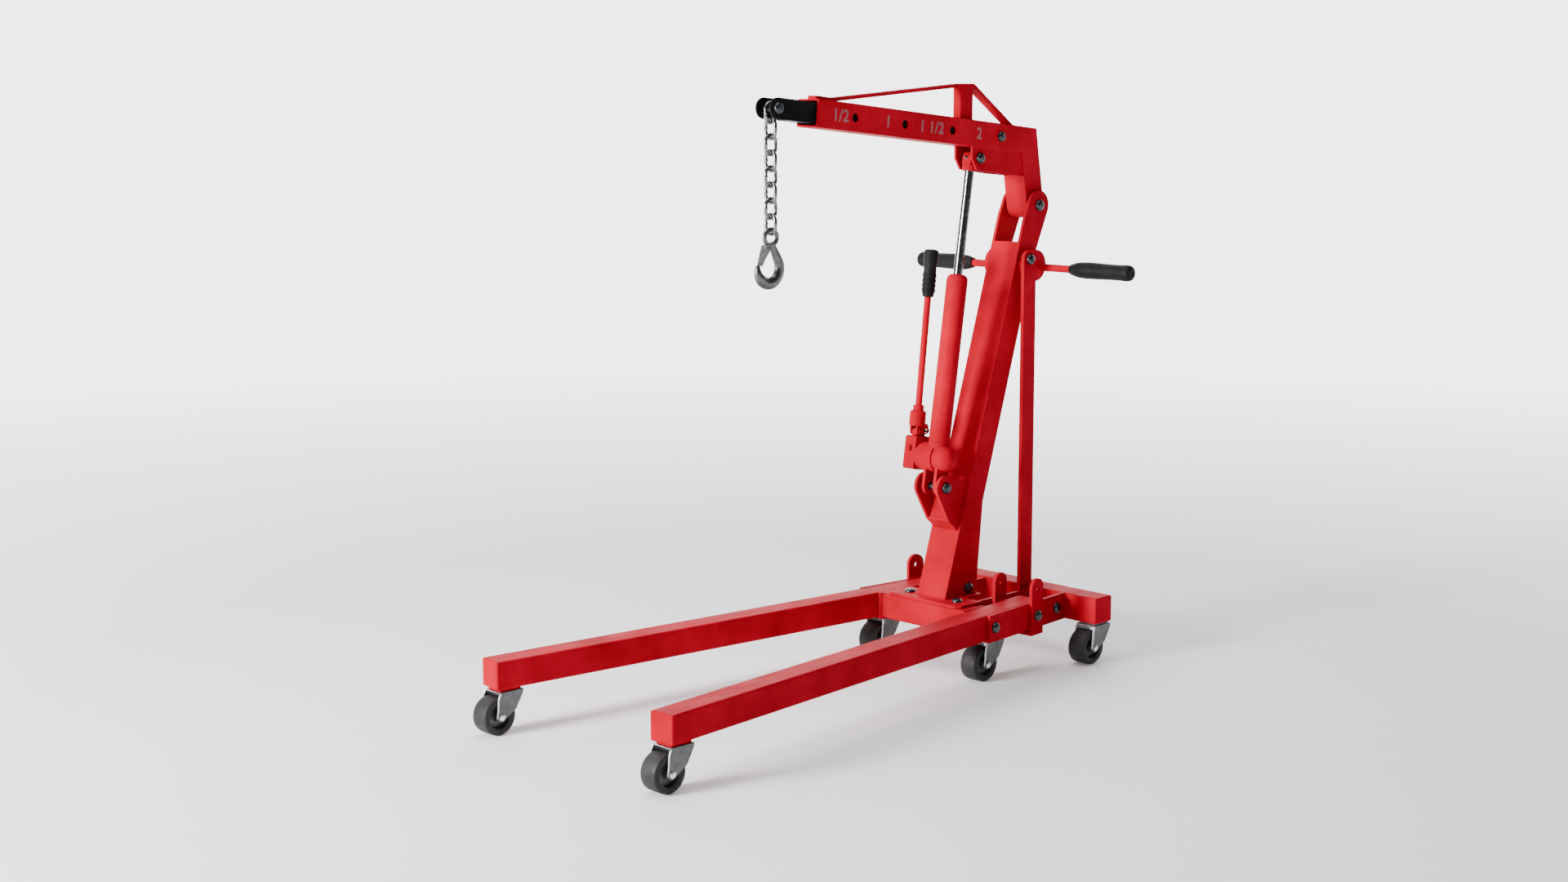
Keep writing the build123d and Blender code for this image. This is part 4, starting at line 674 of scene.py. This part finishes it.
# ---------------------------------------------------------------- slot rings on the lever's ears
PLUNGER_BACK = 26.0
PLUNGER_PIN = pump_pivot + BACK * (PLUNGER_BACK * MM)
EAR_MIDDLE = 12.0       # each ear's middle from the lever's own middle
RING_HALF = 3.3
SLOT_RUN = 4.5
for sign, hand in ((1, "left"), (-1, "right")):
    rings = []
    for angle in range(0, 360, 10):
        a = radians(angle)
        shift = SLOT_RUN if cos(a) > 0 else -SLOT_RUN
        rings.append([
            PLUNGER_PIN
            + OUT * ((sign * EAR_MIDDLE + x) * MM)
            + (BACK * (shift + radius * cos(a)) + UP * (radius * sin(a))) * MM
            for radius, x in (
                (5.7, -RING_HALF), (5.7, RING_HALF), (8.0, RING_HALF), (8.6, RING_HALF - 0.6),
                (8.6, 0.6 - RING_HALF), (8.0, -RING_HALF),
            )
        ])
    vertices, faces = skin(rings, True)
    ring = piece(f"lever_slot_{hand}", vertices, faces, LOOKS["red_paint"], "pump_lever", 50.0)


# ---------------------------------------------------------------- rating numerals
PIN_REACH = 0.1376      # the chain pin ahead of the boom's nose
NUMERAL_HEIGHT = 0.045
NUMERAL_WEIGHT = 0.0011
BOOM_SKIN = 0.03912     # just proud of the boom's side
RATINGS = (("1/2", 0.088), ("1", 0.275), ("1 1/2", 0.455), ("2", 0.66))
forward = Vector(JOINTS["extension_slide"]["axis"])
nose = PIN - forward * PIN_REACH
normal_up = forward.cross(OUT).normalized()
if normal_up.z < 0:
    normal_up = -normal_up


def numeral(text, distance, face):
    """Sprayed numerals on one side of the boom, centred at a distance back from its nose."""
    data = bpy.data.curves.new(f"rating_{text}", "FONT")
    data.body = text
    data.align_x = "CENTER"
    data.align_y = "CENTER"
    data.size = NUMERAL_HEIGHT
    data.space_character = 1.1
    data.offset = NUMERAL_WEIGHT
    thing = bpy.data.objects.new("numeral", data)
    bpy.context.scene.collection.objects.link(thing)
    run = -forward * face
    spot = nose - forward * distance + OUT * (face * BOOM_SKIN)
    thing.matrix_world = Matrix(
        (
            (run.x, normal_up.x, OUT.x * face, spot.x),
            (run.y, normal_up.y, OUT.y * face, spot.y),
            (run.z, normal_up.z, OUT.z * face, spot.z),
            (0, 0, 0, 1),
        )
    )
    bpy.context.view_layer.update()
    mesh = bpy.data.meshes.new_from_object(thing)
    mesh.transform(thing.matrix_world)
    bpy.data.objects.remove(thing)
    mesh.materials.clear()
    mesh.materials.append(STENCIL)
    side = "left" if face > 0 else "right"
    sprayed = bpy.data.objects.new(f"rating_{round(distance * 1000)}_{side}", mesh)
    bpy.context.scene.collection.objects.link(sprayed)
    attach(sprayed, "boom")


for text, distance in RATINGS:
    for face in (1, -1):
        numeral(text, distance, face)


# ---------------------------------------------------------------- weld beads
mast_low, mast_high = (Vector(corner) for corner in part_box("mast"))
BEAM_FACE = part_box("rear_beam")[0][1]
MAST_SLOPE = 0.30649    # how far the mast leans back for each step up


def mast_front(height):
    return mast_low.y + (height - mast_low.z) * MAST_SLOPE


def boom_spot(station, up, side):
    """A point on the boom from its station ahead of the rear beam, up from its centre line."""
    back = (BEAM_FACE + station * MM - nose.y - normal_up.y * up * MM) / -forward.y
    return nose - forward * back + normal_up * (up * MM) + OUT * (side * MM)


BOOM_TOP = 37.5         # the boom's top face above its centre line
BOOM_FLOOR = -38.0
STRAP_HALF = 15.0       # half width of the post and of the strap
POST_SPAN = (-266, -210)
STRAP_SPAN = (-787, -851)
STRAP_HEEL = -27
EAR_SPAN = (-232, -66)
EAR_SIDE = 35.5
RAM_FOOT_SPAN = (0.408, 0.545)
RAM_FOOT_SIDE = 0.0462
BOSS_HEIGHT = 1.168
BOSS_R = 0.0462
SOCKET_SPAN = (0.123, 0.199)
SOCKET_SIDE = 0.2172

foot = mast_low.z + 0.001
heel = BEAM_FACE - 0.215
side = mast_high.x
rippled(
    "weld_mast_foot",
    [(-side, mast_low.y, foot), (side, mast_low.y, foot), (side, heel, foot), (-side, heel, foot)],
    3.6, "base", True,
)
rippled(
    "weld_post_foot",
    [boom_spot(POST_SPAN[far], BOOM_TOP, edge * STRAP_HALF) for far, edge in
     ((0, -1), (0, 1), (1, 1), (1, -1))],
    2.8, "boom", True,
)
rippled(
    "weld_strap_front",
    [boom_spot(STRAP_SPAN[far], BOOM_TOP, edge * STRAP_HALF) for far, edge in
     ((0, -1), (1, -1), (1, 1), (0, 1))],
    2.4, "boom",
)
rippled(
    "weld_strap_heel",
    [boom_spot(STRAP_HEEL, BOOM_TOP, edge * STRAP_HALF) for edge in (-1, 1)], 3.0, "boom",
)
for sign, hand in ((1, "left"), (-1, "right")):
    rippled(
        f"weld_ram_ear_{hand}",
        [boom_spot(station, BOOM_FLOOR, sign * EAR_SIDE) for station in EAR_SPAN], 2.8, "boom",
    )
    rippled(
        f"weld_ram_foot_{hand}",
        [(sign * RAM_FOOT_SIDE, mast_front(z) - 0.0006, z) for z in RAM_FOOT_SPAN], 3.2, "base",
    )
    arc = []
    for angle in range(76, 285, 6):
        a = radians(angle)
        reach = BEAM_FACE + 0.006 + BOSS_R * cos(a)
        arc.append((sign * (side + 0.0004), reach, BOSS_HEIGHT + BOSS_R * sin(a)))
    rippled(f"weld_boss_{hand}", arc, 2.6, "base")
    cross_low, cross_high = (Vector(corner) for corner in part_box("front_crossmember"))
    rail_low, rail_high = (Vector(corner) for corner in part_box("inner_rails"))
    rippled(
        f"weld_rail_rear_{hand}",
        [(sign * rail_high.x, BEAM_FACE, rail_low.z), (sign * rail_high.x, BEAM_FACE, rail_high.z)],
        3.0, "base",
    )
    rippled(
        f"weld_rail_front_{hand}",
        [(sign * rail_high.x, rail_low.y, rail_low.z), (sign * rail_high.x, rail_low.y, rail_high.z)],
        3.0, "base",
    )
    rippled(
        f"weld_socket_{hand}",
        [(sign * SOCKET_SIDE, BEAM_FACE, z) for z in SOCKET_SPAN], 3.2, "base",
    )
    ends = sign * (cross_high.x - 0.0005)
    rippled(
        f"weld_cross_{hand}",
        [(ends, cross_low.y, cross_low.z + 0.002), (ends, cross_low.y, cross_high.z - 0.001)],
        2.6, "base",
    )


# ---------------------------------------------------------------- studio
CAMERA_TURN = radians(45.84)
CAMERA_DIP = radians(8.98)
floor_look = Look("studio_floor")
floor_tone = floor_look.span(floor_look.noise(0.6, 3.0), 0.3, 0.7, 0.0, 1.0)
floor_look.finish(
    floor_look.mix(floor_tone, (0.86, 0.86, 0.86), (0.88, 0.88, 0.88)), 0.85,
    floor_look.bump(floor_look.noise(220.0), 0.05, 0.0004), specular=0.1,
)
reach = floor_look.add("ShaderNodeVectorMath", operation="LENGTH")
floor_look.put(reach.inputs[0], floor_look.place)
floor_look.shader.inputs["Emission Color"].default_value = (1.0, 1.0, 1.0, 1.0)
glow = floor_look.span(reach.outputs["Value"], 2.2, 8.0, 0.12, 3.0)
floor_look.put(floor_look.shader.inputs["Emission Strength"], glow)
FLOOR_END = 7.5         # where the floor starts to curve up
SWEEP_R = 3.0
profile = [(-9.0, 0.0), (FLOOR_END, 0.0)]
for angle in range(10, 91, 10):
    a = radians(angle)
    profile.append((FLOOR_END + SWEEP_R * sin(a), SWEEP_R - SWEEP_R * cos(a)))
profile.append((FLOOR_END + SWEEP_R, 9.0))
turn = Matrix.Rotation(CAMERA_TURN, 3, "Z")
sweep_rings = [
    [turn @ Vector((x, along, height)) for x in (-16.0, 16.0)] for along, height in profile
]
sweep_vertices = [point for ring in sweep_rings for point in ring]
sweep_faces = [(2 * i, 2 * i + 1, 2 * i + 3, 2 * i + 2) for i in range(len(profile) - 1)]
backdrop = piece(
    "studio_sweep", sweep_vertices, sweep_faces, floor_look.material, None, sharp=80.0
)


def area_light(name, place, target, size, power):
    data = bpy.data.lights.new(name, "AREA")
    data.shape = "RECTANGLE"
    data.size, data.size_y = size
    data.energy = power
    lamp = bpy.data.objects.new(name, data)
    bpy.context.scene.collection.objects.link(lamp)
    lamp.location = place
    lamp.rotation_euler = (Vector(target) - Vector(place)).to_track_quat("-Z", "Y").to_euler()


area_light("key", (-1.4, -6.2, 2.4), (0.0, -0.2, 0.9), (1.8, 1.8), 1050.0)
area_light("top", (-0.6, -0.6, 5.4), (0.0, 0.0, 0.0), (4.0, 4.0), 240.0)
area_light("rim", (-3.5, 4.0, 3.0), (0.0, 0.2, 1.0), (2.0, 2.0), 40.0)

world = bpy.data.worlds.new("studio")
bpy.context.scene.world = world
world.use_nodes = True
world.node_tree.nodes["Background"].inputs["Color"].default_value = (1.0, 1.0, 1.0, 1.0)
world.node_tree.nodes["Background"].inputs["Strength"].default_value = 0.13

camera_data = bpy.data.cameras.new("view")
camera_data.lens = 49.1
camera_data.sensor_width = 36.0
camera = bpy.data.objects.new("view", camera_data)
bpy.context.scene.collection.objects.link(camera)
camera.location = (4.10258, -4.1144, 1.64207)
camera.rotation_euler = (pi / 2 - CAMERA_DIP, 0.0, CAMERA_TURN)
bpy.context.scene.camera = camera
